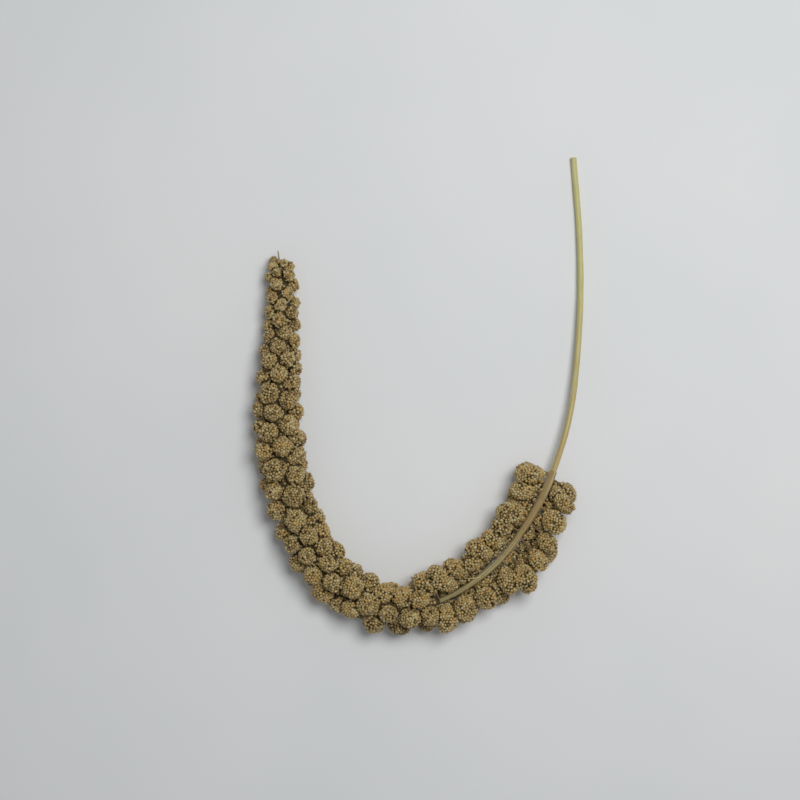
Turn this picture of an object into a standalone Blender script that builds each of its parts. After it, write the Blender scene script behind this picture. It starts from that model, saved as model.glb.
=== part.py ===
"""A dried head of foxtail millet, cut with its stem and lying on a flat surface.

The plant is one stalk. Its bare lower end is the stem. Above the neck the same stalk runs on as the
rachis of the seed head, which bears short side branches, and each branch ends in a dense ball of grains.
The stem is straw-green and the head is golden, so each is its own object.

Metres, +Z up, standing on Z = 0. The origin is the middle of the footprint, and the cut end of the stem
points along +Y. Sizes below are in millimetres.
"""

import math
import random

import bmesh
import bpy
import numpy as np
from mathutils import Matrix, Vector

MM = 0.001

# The line of the stalk, from the bare point of the rachis to the cut end of the stem: X, Y and height.
ROUTE = [
    (-82.3, 84.3, 9.0),
    (-79.6, 63.0, 10.0),
    (-79.6, 41.0, 11.0),
    (-81.8, 2.0, 13.0),
    (-80.3, -35.5, 14.0),
    (-71.5, -70.0, 14.2),
    (-56.5, -99.0, 14.2),
    (-33.0, -118.5, 14.2),
    (-6.0, -125.1, 14.0),
    (20.0, -117.1, 13.5),
    (45.0, -99.1, 13.2),
    (65.0, -73.1, 12.8),
    (79.0, -44.6, 12.0),
    (90.0, -6.1, 9.0),
    (95.2, 46.9, 5.0),
    (95.2, 91.9, 2.8),
    (91.7, 139.8, 1.8),
]
NECK_POINT = 12  # the route's point where the stem ends and the head begins
ROUTE_STEPS = 24  # samples between two of the route's points
SLOPE_STEP = 1.0  # half the stretch of stalk over which its direction is read

# Sizes along the head, each as pairs of a distance from the bare point of the rachis and the size there.
HALF_WIDTH = [
    (6, 4.6), (9, 7.2), (19, 9.8), (36, 11.0), (52, 11.4), (68, 13.0), (92, 14.8), (114, 15.8), (400, 15.8)
]
BALL_RADIUS = [
    (6, 2.9), (20, 4.0), (40, 4.6), (62, 5.1), (85, 5.8), (120, 6.3), (155, 6.6), (265, 6.6), (372, 6.0)
]
CORE_RADIUS = [
    (6, 0.5), (9, 1.6), (24, 4.6), (60, 5.6), (120, 6.4), (250, 6.2), (268, 1.2), (290, 1.45), (350, 2.0)
]
BARE_POINT = 6.0  # length of rachis that stands out past the last grains
BARE_POINT_RADIUS = 0.4

# How the balls of grains are set round the rachis.
FIRST_BALL = 9.0  # from the bare point
LAST_BALL_FROM_NECK = 14.0
GOLDEN_ANGLE = 137.508  # degrees between one side branch and the next
BALL_SPACING = 2.19  # distance between neighbouring balls, in ball radii
SPACING_LEVEL = 0.35  # that distance holds this far out from the balls' centres, in ball radii
HEXAGON_SHARE = math.sqrt(3) / 2  # the area that a close-packed ball takes, over its spacing squared
BALL_SIZE_SPREAD = 0.14  # how far a ball's radius strays from the usual one, as a share of it
BALL_SHAPE = ((0.98, 1.08), (0.92, 1.1), (0.88, 0.98))  # half-axes outward, along and across, over the radius
BRANCH_LEAN = 24.0  # degrees by which a side branch leans towards the tip
BRANCH_SWEEP = 0.22  # how far a ball sits towards the tip from its branch's root, over its reach
HEAD_FLATTENING = 0.9  # height of the head over its width
CROWDING = 0.97  # how near two balls may come, over the sum of their radii
SPREAD_ROUNDS = 40
SPREAD_PUSH = 0.3  # share of a squeeze that one round takes away
TIP_BALL_STRETCH = 1.2

# The lower part of the head, where the rachis shows between balls that stand apart.
SPARSE_FROM = 262.0
SPARSE_STEP = 0.475  # side branches follow each other this much closer there, but many bear nothing
SHORTEST_REACH = 1.0  # the side branches differ in length there, from this share of the usual one
LONGEST_INNER_REACH = 1.12  # to this one on the inner side of the bend, and to these on the outer side
LONGEST_OUTER_REACH = [(262, 1.0), (285, 1.2), (302, 1.85), (334, 1.85), (346, 1.2), (372, 1.0)]
SPARSE_BALL_SHAPE = ((1.1, 1.5), (0.95, 1.1), (0.88, 0.98))  # the balls are longer along their branches
BARE_TOP_ANGLE = 70.0  # the rachis's upper side is bare this far to each side, in degrees
INNER_SIDE_KEPT = 0.9  # share of the balls that are still there on the inner side of the bend

# The last balls under the neck: distance from it, degrees round from the outer side, reach and radius.
NECK_BALLS = ((10.0, 0.0, 6.5, 5.4), (2.5, 180.0, 12.5, 5.5))

BRANCHES_SHOW_FROM = 252.0
BRANCH_RADII = (0.78, 0.6)  # at the rachis and at the ball

# The grains in relief on each ball.
GRAINS_ON_BALL = 10
GRAINS_ON_SMALL_BALL = 7
SMALL_BALL_RADIUS = 5.2
CROWN_LEVEL = 1.04  # the top of a grain, in ball radii
CREASE_LEVEL = 0.82  # where three grains meet, in ball radii
INNER_EDGE = -0.2  # how far round a ball its grains reach, from 1 at its crown to -1 at its branch

# The neck and the stem.
NECK_GAP = 0.3  # between the stem's end and the rachis
NECK_RING_RADIUS = 2.35
NECK_RING_LENGTH = 0.65
RACHIS_END_FROM_NECK = 2.0  # where the rachis starts to widen into the ring
STEM_RADIUS_AT_NECK = 1.75
STEM_RADIUS_AT_CUT = 1.8

STALK_SIDES = 10
CORE_SIDES = 6
BRANCH_SIDES = 3
CORE_RING_STEP = 12.0
STEM_RING_STEP = 5.0
FOOT_DEPTH = 0.7  # how far a ball that carries the head is pressed flat
SURFACE_SIZE = (600, 600, 20)
SMOOTH_UP_TO = 40.0  # degrees between faces that still look round
SEED = 7


def clear_scene():
    for obj in list(bpy.data.objects):
        bpy.data.objects.remove(obj, do_unlink=True)


def material(name, colour, roughness):
    made = bpy.data.materials.new(name)
    made.use_nodes = True
    shader = made.node_tree.nodes["Principled BSDF"]
    shader.inputs["Base Color"].default_value = (*colour, 1.0)
    shader.inputs["Roughness"].default_value = roughness
    shader.inputs["Metallic"].default_value = 0.0
    return made


def size_at(pairs, distance):
    distances, sizes = zip(*pairs)
    return float(np.interp(distance, distances, sizes))


class Stalk:
    """A smooth Catmull-Rom curve through the route's points, read by the distance from its first point."""

    def __init__(self, route):
        before_first = 2 * np.array(route[0]) - route[1]
        after_last = 2 * np.array(route[-1]) - route[-2]
        points = np.array([before_first, *route, after_last], float)
        line = []
        for before, start, stop, after in zip(points, points[1:], points[2:], points[3:]):
            for step in range(ROUTE_STEPS):
                t = step / ROUTE_STEPS
                slope = 0.5 * (stop - before)
                bend = before - 2.5 * start + 2 * stop - 0.5 * after
                twist = 1.5 * (start - stop) + 0.5 * (after - before)
                line.append(start + t * slope + t**2 * bend + t**3 * twist)
        self.line = np.array([*line, route[-1]])
        steps = np.linalg.norm(np.diff(self.line, axis=0), axis=1)
        self.distances = np.concatenate([[0.0], np.cumsum(steps)])
        self.length = float(self.distances[-1])
        self.neck = float(self.distances[NECK_POINT * ROUTE_STEPS])

    def point(self, distance):
        return Vector([float(np.interp(distance, self.distances, self.line[:, k])) for k in range(3)])

    def frame(self, distance):
        """The way towards the cut end, the way to the outer side of the bend, and the way up."""
        along = (self.point(distance + SLOPE_STEP) - self.point(distance - SLOPE_STEP)).normalized()
        side = along.cross(Vector((0, 0, 1))).normalized()
        return along, side, side.cross(along)


class Ball:
    """One ball of grains: its place along the stalk, its branch's root, its centre and its half-axes."""

    def __init__(self, place, root, centre, axes, radii):
        self.place = place
        self.root = root
        self.centre = centre
        self.axes = axes
        self.radii = radii

    def drop(self):
        """How far the ball reaches below its centre."""
        return math.sqrt(sum((radius * axis.z) ** 2 for radius, axis in zip(self.radii, self.axes)))

    def matrix(self):
        columns = [axis * radius for axis, radius in zip(self.axes, self.radii)]
        return Matrix.Translation(self.centre) @ Matrix(columns).transposed().to_4x4()


def grow_ball(stalk, place, turn, reach, radius, draw):
    """A ball on a side branch, turned this far round the rachis from the outer side of the bend."""
    along, side, up = stalk.frame(place)
    lean = math.radians(BRANCH_LEAN)
    outward = side * math.cos(turn) + up * math.sin(turn)
    axis = outward * math.cos(lean) - along * math.sin(lean)
    across = (along - axis * along.dot(axis)).normalized()
    root = stalk.point(place)
    flattened = side * math.cos(turn) + up * math.sin(turn) * HEAD_FLATTENING
    centre = root + (flattened - along * BRANCH_SWEEP) * reach
    shape = SPARSE_BALL_SHAPE if place > SPARSE_FROM else BALL_SHAPE
    radii = [radius * draw.uniform(*limits) for limits in shape]
    centre += axis * max(0.0, radii[0] - radius)
    ball = Ball(place, root, centre, (axis, across, axis.cross(across)), radii)
    ball.centre.z = max(ball.centre.z, ball.drop() - FOOT_DEPTH)
    return ball


def spread_apart(places, turns, reaches, radii):
    """Push crowded balls off each other, along the rachis and round it, as if the stalk were straight."""
    for _ in range(SPREAD_ROUNDS):
        points = np.column_stack([places, reaches * np.cos(turns), reaches * np.sin(turns)])
        apart = points[:, None] - points[None]
        gaps = np.linalg.norm(apart, axis=2)
        np.fill_diagonal(gaps, np.inf)
        squeeze = np.clip(CROWDING * (radii[:, None] + radii[None]) - gaps, 0, None)
        move = (apart * (squeeze / gaps)[..., None]).sum(axis=1) * SPREAD_PUSH
        places = places + move[:, 0]
        turns = turns + (move[:, 2] * np.cos(turns) - move[:, 1] * np.sin(turns)) / reaches
        turns = np.where(places > SPARSE_FROM, off_the_top(turns), turns)
    return places, turns


def off_the_top(turns):
    """Turns round the rachis, moved out of the stretch on its upper side that stays bare."""
    from_top = (turns + math.pi / 2) % (2 * math.pi) - math.pi
    bare = math.radians(BARE_TOP_ANGLE)
    moved = np.copysign(np.maximum(np.abs(from_top), bare), from_top)
    return moved + math.pi / 2


def lay_out_balls(stalk, draw):
    """Where the balls sit: they wind round the rachis by the golden angle, and are then pushed apart."""
    rows = []
    place, turn = FIRST_BALL, 0.0
    while place < stalk.neck - LAST_BALL_FROM_NECK:
        sparse = place > SPARSE_FROM
        radius = size_at(BALL_RADIUS, place) * draw.uniform(1 - BALL_SIZE_SPREAD, 1 + BALL_SIZE_SPREAD)
        reach = size_at(HALF_WIDTH, place) - radius
        girth = 2 * math.pi * (reach + SPACING_LEVEL * radius)
        angle_from_top = abs((turn + 90) % 360 - 180)
        inner = math.cos(math.radians(turn)) < 0
        fallen = inner and draw.random() > INNER_SIDE_KEPT
        if not sparse or (angle_from_top > BARE_TOP_ANGLE and not fallen):
            longest = LONGEST_INNER_REACH if inner else size_at(LONGEST_OUTER_REACH, place)
            length = draw.uniform(SHORTEST_REACH, longest) if sparse else 1.0
            rows.append((place, math.radians(turn), reach * length, radius))
        step = (BALL_SPACING * radius) ** 2 * HEXAGON_SHARE / girth
        place += step * SPARSE_STEP if sparse else step
        turn += GOLDEN_ANGLE
    places, turns, reaches, radii = np.array(rows).T
    places, turns = spread_apart(places, turns, reaches, radii)
    return zip(places, turns, reaches, radii)


def grow_balls(stalk):
    """Every ball of the head, with one at the tip and two close under the neck."""
    draw = random.Random(SEED)
    balls = [grow_ball(stalk, *row, draw) for row in lay_out_balls(stalk, draw)]
    along, side, up = stalk.frame(BARE_POINT)
    tip_radius = size_at(BALL_RADIUS, BARE_POINT)
    tip_place = BARE_POINT + tip_radius
    tip = stalk.point(tip_place)
    tip_radii = (tip_radius * TIP_BALL_STRETCH, tip_radius, tip_radius)
    balls.append(Ball(tip_place, tip, tip, (-along, side, up), tip_radii))
    for from_neck, turn, reach, radius in NECK_BALLS:
        balls.append(grow_ball(stalk, stalk.neck - from_neck, math.radians(turn), reach, radius, draw))
    return balls


def grain_directions(count, start):
    """Directions spread evenly over a ball's outer side along a spiral, and one towards its branch."""
    found = [Vector((-1, 0, 0))]
    for k in range(count - 1):
        height = 1 - (1 - INNER_EDGE) * (k + 0.5) / (count - 1)
        turn = math.radians(GOLDEN_ANGLE) * k + start
        level = math.sqrt(1 - height * height)
        found.append(Vector((height, level * math.cos(turn), level * math.sin(turn))))
    return found


def grain_relief(grains, start):
    """A unit ball covered by grains on its outer side: a crown on each, and creases between them."""
    mesh = bmesh.new()
    for direction in grain_directions(grains, start):
        mesh.verts.new(direction)
    bmesh.ops.convex_hull(mesh, input=mesh.verts)
    inner = min(mesh.verts, key=lambda vert: vert.co.x)
    meetings = [face for face in mesh.faces if inner not in face.verts]
    creases = [face.calc_center_median().normalized() * CREASE_LEVEL for face in meetings]
    for vert in mesh.verts:
        vert.co *= CROWN_LEVEL
    for face, place in zip(meetings, creases):
        crease = mesh.verts.new(place)
        for edge in face.edges:
            mesh.faces.new((*edge.verts, crease))
    bmesh.ops.delete(mesh, geom=meetings, context="FACES_ONLY")
    bmesh.ops.recalc_face_normals(mesh, faces=mesh.faces)
    return mesh


def tube(path, radii, sides):
    """A closed tube round a path that nowhere runs straight up, with a flat polygon at each end."""
    mesh = bmesh.new()
    rings = []
    for k, (point, radius) in enumerate(zip(path, radii)):
        before, after = path[max(k - 1, 0)], path[min(k + 1, len(path) - 1)]
        along = (after - before).normalized()
        side = along.cross(Vector((0, 0, 1))).normalized()
        up = side.cross(along)
        turns = [2 * math.pi * n / sides for n in range(sides)]
        spokes = [side * math.cos(turn) + up * math.sin(turn) for turn in turns]
        rings.append([mesh.verts.new(point + spoke * radius) for spoke in spokes])
    for ring, following in zip(rings, rings[1:]):
        for n in range(sides):
            m = (n + 1) % sides
            mesh.faces.new((ring[n], ring[m], following[m], following[n]))
    mesh.faces.new(reversed(rings[0]))
    mesh.faces.new(rings[-1])
    bmesh.ops.recalc_face_normals(mesh, faces=mesh.faces)
    return mesh


def object_of(name, mesh, collection, looks=None):
    """A scene object in metres from a bmesh in millimetres."""
    bmesh.ops.scale(mesh, vec=(MM, MM, MM), verts=mesh.verts)
    data = bpy.data.meshes.new(name)
    mesh.to_mesh(data)
    mesh.free()
    obj = bpy.data.objects.new(name, data)
    if looks:
        data.materials.append(looks)
    collection.objects.link(obj)
    return obj


def stations(start, stop, step):
    """Evenly spaced distances from start to stop, about a step apart."""
    return np.linspace(start, stop, max(2, round((stop - start) / step) + 1))


def build_core(stalk, looks):
    """The rachis and, in the dense part, the packed heart of the head that the balls stand out of."""
    ring_stop = stalk.neck - NECK_GAP / 2
    core = stations(FIRST_BALL, stalk.neck - RACHIS_END_FROM_NECK, CORE_RING_STEP)
    places = [0.0, BARE_POINT, *core, ring_stop - NECK_RING_LENGTH, ring_stop]
    radii = [BARE_POINT_RADIUS, BARE_POINT_RADIUS]
    radii += [size_at(CORE_RADIUS, place) for place in core]
    radii += [NECK_RING_RADIUS, NECK_RING_RADIUS]
    mesh = tube([stalk.point(place) for place in places], radii, CORE_SIDES)
    return object_of("seed_head", mesh, bpy.context.scene.collection, looks)


def build_ball(ball, number, collection, draw):
    grains = GRAINS_ON_BALL if ball.radii[0] > SMALL_BALL_RADIUS else GRAINS_ON_SMALL_BALL
    mesh = grain_relief(grains, draw.uniform(0, 2 * math.pi))
    bmesh.ops.transform(mesh, matrix=ball.matrix(), verts=mesh.verts)
    object_of(f"ball_{number}", mesh, collection)


def build_branch(ball, number, collection):
    """The side branch that carries a ball, seen where the balls stand apart."""
    mesh = tube([ball.root, ball.centre], BRANCH_RADII, BRANCH_SIDES)
    object_of(f"branch_{number}", mesh, collection)


def build_surface(collection):
    """A block whose top is the surface that the head lies on."""
    mesh = bmesh.new()
    bmesh.ops.create_cube(mesh, size=1.0)
    bmesh.ops.transform(mesh, matrix=Matrix.Diagonal((*SURFACE_SIZE, 1)), verts=mesh.verts)
    bmesh.ops.translate(mesh, vec=(0, 0, -SURFACE_SIZE[2] / 2), verts=mesh.verts)
    object_of("surface", mesh, collection)


def helpers_collection(name):
    made = bpy.data.collections.new(name)
    bpy.context.scene.collection.children.link(made)
    return made


def apply_boolean(obj, operation, collection):
    """Join or cut the object with everything in the collection, which is then removed."""
    modifier = obj.modifiers.new(operation.lower(), "BOOLEAN")
    modifier.operation = operation
    modifier.operand_type = "COLLECTION"
    modifier.collection = collection
    modifier.solver = "MANIFOLD"
    bpy.context.view_layer.update()
    evaluated = obj.evaluated_get(bpy.context.evaluated_depsgraph_get())
    result = bpy.data.meshes.new_from_object(evaluated)
    obj.modifiers.remove(modifier)
    obj.data = result
    for helper in list(collection.objects):
        bpy.data.objects.remove(helper, do_unlink=True)
    bpy.data.collections.remove(collection)


def shells_of(mesh):
    """The groups of vertices that edges join."""
    waiting, shells = set(mesh.verts), []
    while waiting:
        shell, front = set(), [waiting.pop()]
        while front:
            vert = front.pop()
            shell.add(vert)
            beyond = {edge.other_vert(vert) for edge in vert.link_edges} & waiting
            waiting -= beyond
            front.extend(beyond)
        shells.append(shell)
    return shells


def keep_outer_skin(obj):
    """Fill the hollows that joining sealed, and drop loose scraps: only the largest shell stays."""
    mesh = bmesh.new()
    mesh.from_mesh(obj.data)
    for shell in sorted(shells_of(mesh), key=len)[:-1]:
        bmesh.ops.delete(mesh, geom=list(shell), context="VERTS")
    mesh.to_mesh(obj.data)
    mesh.free()


def build_head(stalk, looks):
    """The rachis, its branches and all its balls of grains, joined and set flat on the surface."""
    head = build_core(stalk, looks)
    growth = helpers_collection("growth")
    draw = random.Random(SEED + 1)
    balls = grow_balls(stalk)
    print(f"{len(balls)} balls of grains")
    for number, ball in enumerate(balls):
        build_ball(ball, number, growth, draw)
        if ball.place > BRANCHES_SHOW_FROM:
            build_branch(ball, number, growth)
    apply_boolean(head, "UNION", growth)
    surface = helpers_collection("below")
    build_surface(surface)
    apply_boolean(head, "DIFFERENCE", surface)
    keep_outer_skin(head)


def build_stem(stalk, looks):
    """The bare stem, from just under the neck to its cut end."""
    places = stations(stalk.neck + NECK_GAP / 2, stalk.length, STEM_RING_STEP)
    radii = np.interp(places, [stalk.neck, stalk.length], [STEM_RADIUS_AT_NECK, STEM_RADIUS_AT_CUT])
    mesh = tube([stalk.point(place) for place in places], radii, STALK_SIDES)
    stem = object_of("stem", mesh, bpy.context.scene.collection, looks)
    stem.data.shade_smooth()
    stem.data.set_sharp_from_angle(angle=math.radians(SMOOTH_UP_TO))


def main():
    clear_scene()
    stalk = Stalk(ROUTE)
    print(f"head {stalk.neck:.1f} mm, stem {stalk.length - stalk.neck:.1f} mm")
    build_stem(stalk, material("straw_stem", (0.43, 0.41, 0.17), 0.5))
    build_head(stalk, material("golden_grain", (0.37, 0.25, 0.10), 0.6))


main()
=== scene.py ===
# %% [markdown]
# A head of foxtail millet, cut with its stem, dried, and laid on a flat surface.
# The plant is one long stalk. Its bare lower end is the stem. Past the neck the same stalk runs on inside
# the head as the rachis, which bears short side branches, and each branch ends in a dense ball of grains.
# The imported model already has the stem, the rachis and every ball at its real place and size. This lesson
# dresses it: about fourteen thousand grains, each in its husk, with chaff, glumes, bristles and hairs
# between them.

import math
import random

import bmesh
import bpy
import numpy as np
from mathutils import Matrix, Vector
from mathutils.bvhtree import BVHTree
from mathutils.kdtree import KDTree


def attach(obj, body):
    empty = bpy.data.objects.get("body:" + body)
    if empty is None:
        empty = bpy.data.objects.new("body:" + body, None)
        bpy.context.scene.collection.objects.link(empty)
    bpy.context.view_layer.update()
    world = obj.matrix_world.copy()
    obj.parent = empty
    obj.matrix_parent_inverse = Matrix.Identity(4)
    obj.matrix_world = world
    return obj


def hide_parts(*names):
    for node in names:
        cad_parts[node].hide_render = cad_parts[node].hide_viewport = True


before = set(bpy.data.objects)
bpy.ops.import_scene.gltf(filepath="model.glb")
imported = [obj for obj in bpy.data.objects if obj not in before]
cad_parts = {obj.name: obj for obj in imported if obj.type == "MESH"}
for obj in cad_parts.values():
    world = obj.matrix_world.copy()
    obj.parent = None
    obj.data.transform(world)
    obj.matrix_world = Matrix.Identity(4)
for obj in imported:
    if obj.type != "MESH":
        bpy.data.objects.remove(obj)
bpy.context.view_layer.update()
MM = 0.001
print("nodes in the frame:", sorted(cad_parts))

# %% [markdown]
# Four small helpers come first, because every later step uses them.
# A colour is easiest to read as the hex value that a paint program shows, but a shader counts in light, so
# one function turns the one into the other. A second adds a node with its settings, and joins its inputs to
# other nodes or gives them plain values; shader trees and geometry trees are both built with it. A third
# starts a material. The last makes a mesh of bare points that carry named values, which is what a geometry
# tree grows things on.
# Some nodes have several sockets of one name, so those sockets go by their numbers, and each gets a name.

# %% Helpers for colours, nodes and points
MIX_SHARE, MIX_A, MIX_B = 0, 6, 7
MIXED = 2
VALUE, FROM_LOW, FROM_HIGH, TO_LOW, TO_HIGH = range(5)


def linear(text):
    """The linear colour of an sRGB hex value."""
    parts = [int(text[k : k + 2], 16) / 255 for k in (1, 3, 5)]
    return (*[part / 12.92 if part <= 0.04045 else ((part + 0.055) / 1.055) ** 2.4 for part in parts], 1.0)


def add(tree, kind, inputs=None, stops=None, **settings):
    """A node with its settings, whose inputs are joined to sockets or nodes, or set to plain values."""
    node = tree.nodes.new(kind)
    for name, value in settings.items():
        setattr(node, name, value)
    for key, value in (inputs or {}).items():
        if isinstance(value, bpy.types.Node):
            value = value.outputs[0]
        if isinstance(value, bpy.types.NodeSocket):
            tree.links.new(value, node.inputs[key])
        else:
            node.inputs[key].default_value = value
    for number, (position, colour) in enumerate(stops or []):
        if number > 1:
            node.color_ramp.elements.new(position)
        node.color_ramp.elements[number].position = position
        node.color_ramp.elements[number].color = linear(colour)
    return node


def new_material(name):
    """A material, its node tree and its shader."""
    made = bpy.data.materials.new(name)
    made.use_nodes = True
    return made, made.node_tree, made.node_tree.nodes["Principled BSDF"]


def points_mesh(name, points, edges=(), **values):
    """Points in millimetres, some joined into lines, with a named number or vector at each."""
    mesh = bpy.data.meshes.new(name)
    mesh.from_pydata(np.asarray(points) * MM, edges, [])
    for key, numbers in values.items():
        numbers = np.asarray(numbers, np.float32)
        is_vector = numbers.ndim == 2
        layer = mesh.attributes.new(key, "FLOAT_VECTOR" if is_vector else "FLOAT", "POINT")
        layer.data.foreach_set("vector" if is_vector else "value", numbers.ravel())
    return mesh


print("the husk's colour in linear light:", [round(part, 3) for part in linear("#C9AB70")[:3]])

# %% [markdown]
# The camera looks straight down on the head, as the photograph does.
# A long lens from about a metre keeps the perspective slight. The frame's width was worked out from the
# photograph's scale of 0.585 mm a pixel.

# %% The camera
MM_PER_PIXEL = 0.585
PIXELS_ACROSS = 800
FRAME_WIDTH = PIXELS_ACROSS * MM_PER_PIXEL
FRAME_CENTRE = (-10.7, -3.2)
FOCUS_HEIGHT = 12.0
LENS = 85.0
SENSOR = 36.0

camera_data = bpy.data.cameras.new("camera")
camera_data.lens = LENS
camera_data.sensor_width = SENSOR
camera_distance = FRAME_WIDTH * LENS / SENSOR
camera = bpy.data.objects.new("camera", camera_data)
camera.location = Vector((*FRAME_CENTRE, FOCUS_HEIGHT + camera_distance)) * MM
bpy.context.scene.collection.objects.link(camera)
bpy.context.scene.camera = camera
print(f"camera {camera_distance / 1000:.2f} m above the head, frame {FRAME_WIDTH:.0f} mm wide")

# %% [markdown]
# The floor is a plain pale sheet, and the light is that of a studio: one large soft lamp overhead, a little
# towards the top right, and an even grey all round that fills the shadows.
# Small round grains need a large lamp. It lays one soft highlight on each crown, and lets the gaps between
# the grains go dark, which is what makes the head look grainy from a step away.

# %% The floor and the light
FLOOR_SIZE = 3000.0
LAMP_PLACE = (320.0, 300.0, 1150.0)
LAMP_SIZE = 620.0
LAMP_POWER = 8.6
FILL_STRENGTH = 0.27
CLOUDS_TO_A_METRE = 6.0


def floor_paper():
    """Matt pale paper, with a faint unevenness that keeps it from looking computed."""
    made, tree, shader = new_material("matt_pale_paper")
    place = add(tree, "ShaderNodeTexCoord")
    cloud = add(tree, "ShaderNodeTexNoise",
                {"Vector": place.outputs["Object"], "Scale": CLOUDS_TO_A_METRE, "Detail": 3.0})
    paper = add(tree, "ShaderNodeValToRGB", {0: cloud}, stops=[(0.3, "#EBEDEE"), (0.7, "#F1F2F2")])
    tree.links.new(paper.outputs[0], shader.inputs["Base Color"])
    shader.inputs["Roughness"].default_value = 0.85
    return made


floor_mesh = bpy.data.meshes.new("floor")
half = FLOOR_SIZE / 2 * MM
floor_corners = [(-half, -half, 0), (half, -half, 0), (half, half, 0), (-half, half, 0)]
floor_mesh.from_pydata(floor_corners, [], [(0, 1, 2, 3)])
floor_mesh.materials.append(floor_paper())
floor = bpy.data.objects.new("floor", floor_mesh)
bpy.context.scene.collection.objects.link(floor)

lamp_data = bpy.data.lights.new("soft_lamp", "AREA")
lamp_data.shape = "DISK"
lamp_data.size = LAMP_SIZE * MM
lamp_data.energy = LAMP_POWER
lamp = bpy.data.objects.new("soft_lamp", lamp_data)
lamp.location = Vector(LAMP_PLACE) * MM
lamp.rotation_euler = lamp.location.to_track_quat("Z", "Y").to_euler()
bpy.context.scene.collection.objects.link(lamp)

world = bpy.data.worlds.new("studio")
world.use_nodes = True
world.node_tree.nodes["Background"].inputs["Color"].default_value = linear("#E9ECEE")
world.node_tree.nodes["Background"].inputs["Strength"].default_value = FILL_STRENGTH
bpy.context.scene.world = world
bpy.context.scene.view_settings.view_transform = "Standard"
print(f"lamp {LAMP_SIZE:.0f} mm across at {LAMP_PLACE}")

# %% [markdown]
# The line of the stalk is the backbone of everything else.
# A few listed points say where it runs, from the bare point of the rachis round the bend of the head
# to the cut end of the stem, and a smooth curve is drawn through them. Every place on the plant is then a
# distance along that curve, in millimetres, so a size that changes along the head is a short list of pairs.
# These are the same points that the imported model was built from, so what grows here lands where it is there.

# %% The line of the stalk
ROUTE = [
    (-82.3, 84.3, 9.0),
    (-79.6, 63.0, 10.0),
    (-79.6, 41.0, 11.0),
    (-81.8, 2.0, 13.0),
    (-80.3, -35.5, 14.0),
    (-71.5, -70.0, 14.2),
    (-56.5, -99.0, 14.2),
    (-33.0, -118.5, 14.2),
    (-6.0, -125.1, 14.0),
    (20.0, -117.1, 13.5),
    (45.0, -99.1, 13.2),
    (65.0, -73.1, 12.8),
    (79.0, -44.6, 12.0),
    (90.0, -6.1, 9.0),
    (95.2, 46.9, 5.0),
    (95.2, 91.9, 2.8),
    (91.7, 139.8, 1.8),
]
NECK_POINT = 12
ROUTE_STEPS = 24
SLOPE_STEP = 1.0


class Stalk:
    """A smooth Catmull-Rom curve through the route's points, read by the distance from its first point."""

    def __init__(self, route):
        before_first = 2 * np.array(route[0]) - route[1]
        after_last = 2 * np.array(route[-1]) - route[-2]
        points = np.array([before_first, *route, after_last], float)
        line = []
        for before, start, stop, after in zip(points, points[1:], points[2:], points[3:]):
            for step in range(ROUTE_STEPS):
                t = step / ROUTE_STEPS
                slope = 0.5 * (stop - before)
                bend = before - 2.5 * start + 2 * stop - 0.5 * after
                twist = 1.5 * (start - stop) + 0.5 * (after - before)
                line.append(start + t * slope + t**2 * bend + t**3 * twist)
        self.line = np.array([*line, route[-1]])
        steps = np.linalg.norm(np.diff(self.line, axis=0), axis=1)
        self.distances = np.concatenate([[0.0], np.cumsum(steps)])
        self.length = float(self.distances[-1])
        self.neck = float(self.distances[NECK_POINT * ROUTE_STEPS])

    def point(self, distance):
        return Vector([float(np.interp(distance, self.distances, self.line[:, k])) for k in range(3)])

    def frame(self, distance):
        """The way towards the cut end, the way to the outer side of the bend, and the way up."""
        along = (self.point(distance + SLOPE_STEP) - self.point(distance - SLOPE_STEP)).normalized()
        side = along.cross(Vector((0, 0, 1))).normalized()
        return along, side, side.cross(along)

    def way_off(self, distance, degrees):
        """The way straight off the stalk, this far round it from the outer side of the bend."""
        _, side, up = self.frame(distance)
        return side * math.cos(math.radians(degrees)) + up * math.sin(math.radians(degrees))


def size_at(pairs, distance):
    """The size at a distance, read from pairs of distance and size."""
    distances, sizes = zip(*pairs)
    return float(np.interp(distance, distances, sizes))


stalk = Stalk(ROUTE)
print(f"head {stalk.neck:.1f} mm and bare stem {stalk.length - stalk.neck:.1f} mm along the curve")

# %% [markdown]
# A ball of grains is close to round, a little longer outward from the rachis. Its side branch leans towards
# the tip and carries it that way too. Near the neck, where the head thins out, the balls are longer. A ball
# that carries the head on the floor is pressed flat by its weight, so it may reach a little below.
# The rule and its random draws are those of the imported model, so each ball here is the same ball there.

# %% One ball of grains
BALL_SHAPE = ((0.98, 1.08), (0.92, 1.1), (0.88, 0.98))
SPARSE_BALL_SHAPE = ((1.1, 1.5), (0.95, 1.1), (0.88, 0.98))
SPARSE_FROM = 262.0
BRANCH_LEAN = 24.0
BRANCH_SWEEP = 0.22
HEAD_FLATTENING = 0.9
FOOT_DEPTH = 0.7


class Ball:
    """One ball of grains: its place along the stalk, its branch's root, its centre and its half-axes."""

    def __init__(self, place, root, centre, axes, radii):
        self.place = place
        self.root = root
        self.centre = centre
        self.axes = axes
        self.radii = radii

    def drop(self):
        """How far the ball reaches below its centre."""
        return math.sqrt(sum((radius * axis.z) ** 2 for radius, axis in zip(self.radii, self.axes)))


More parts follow.
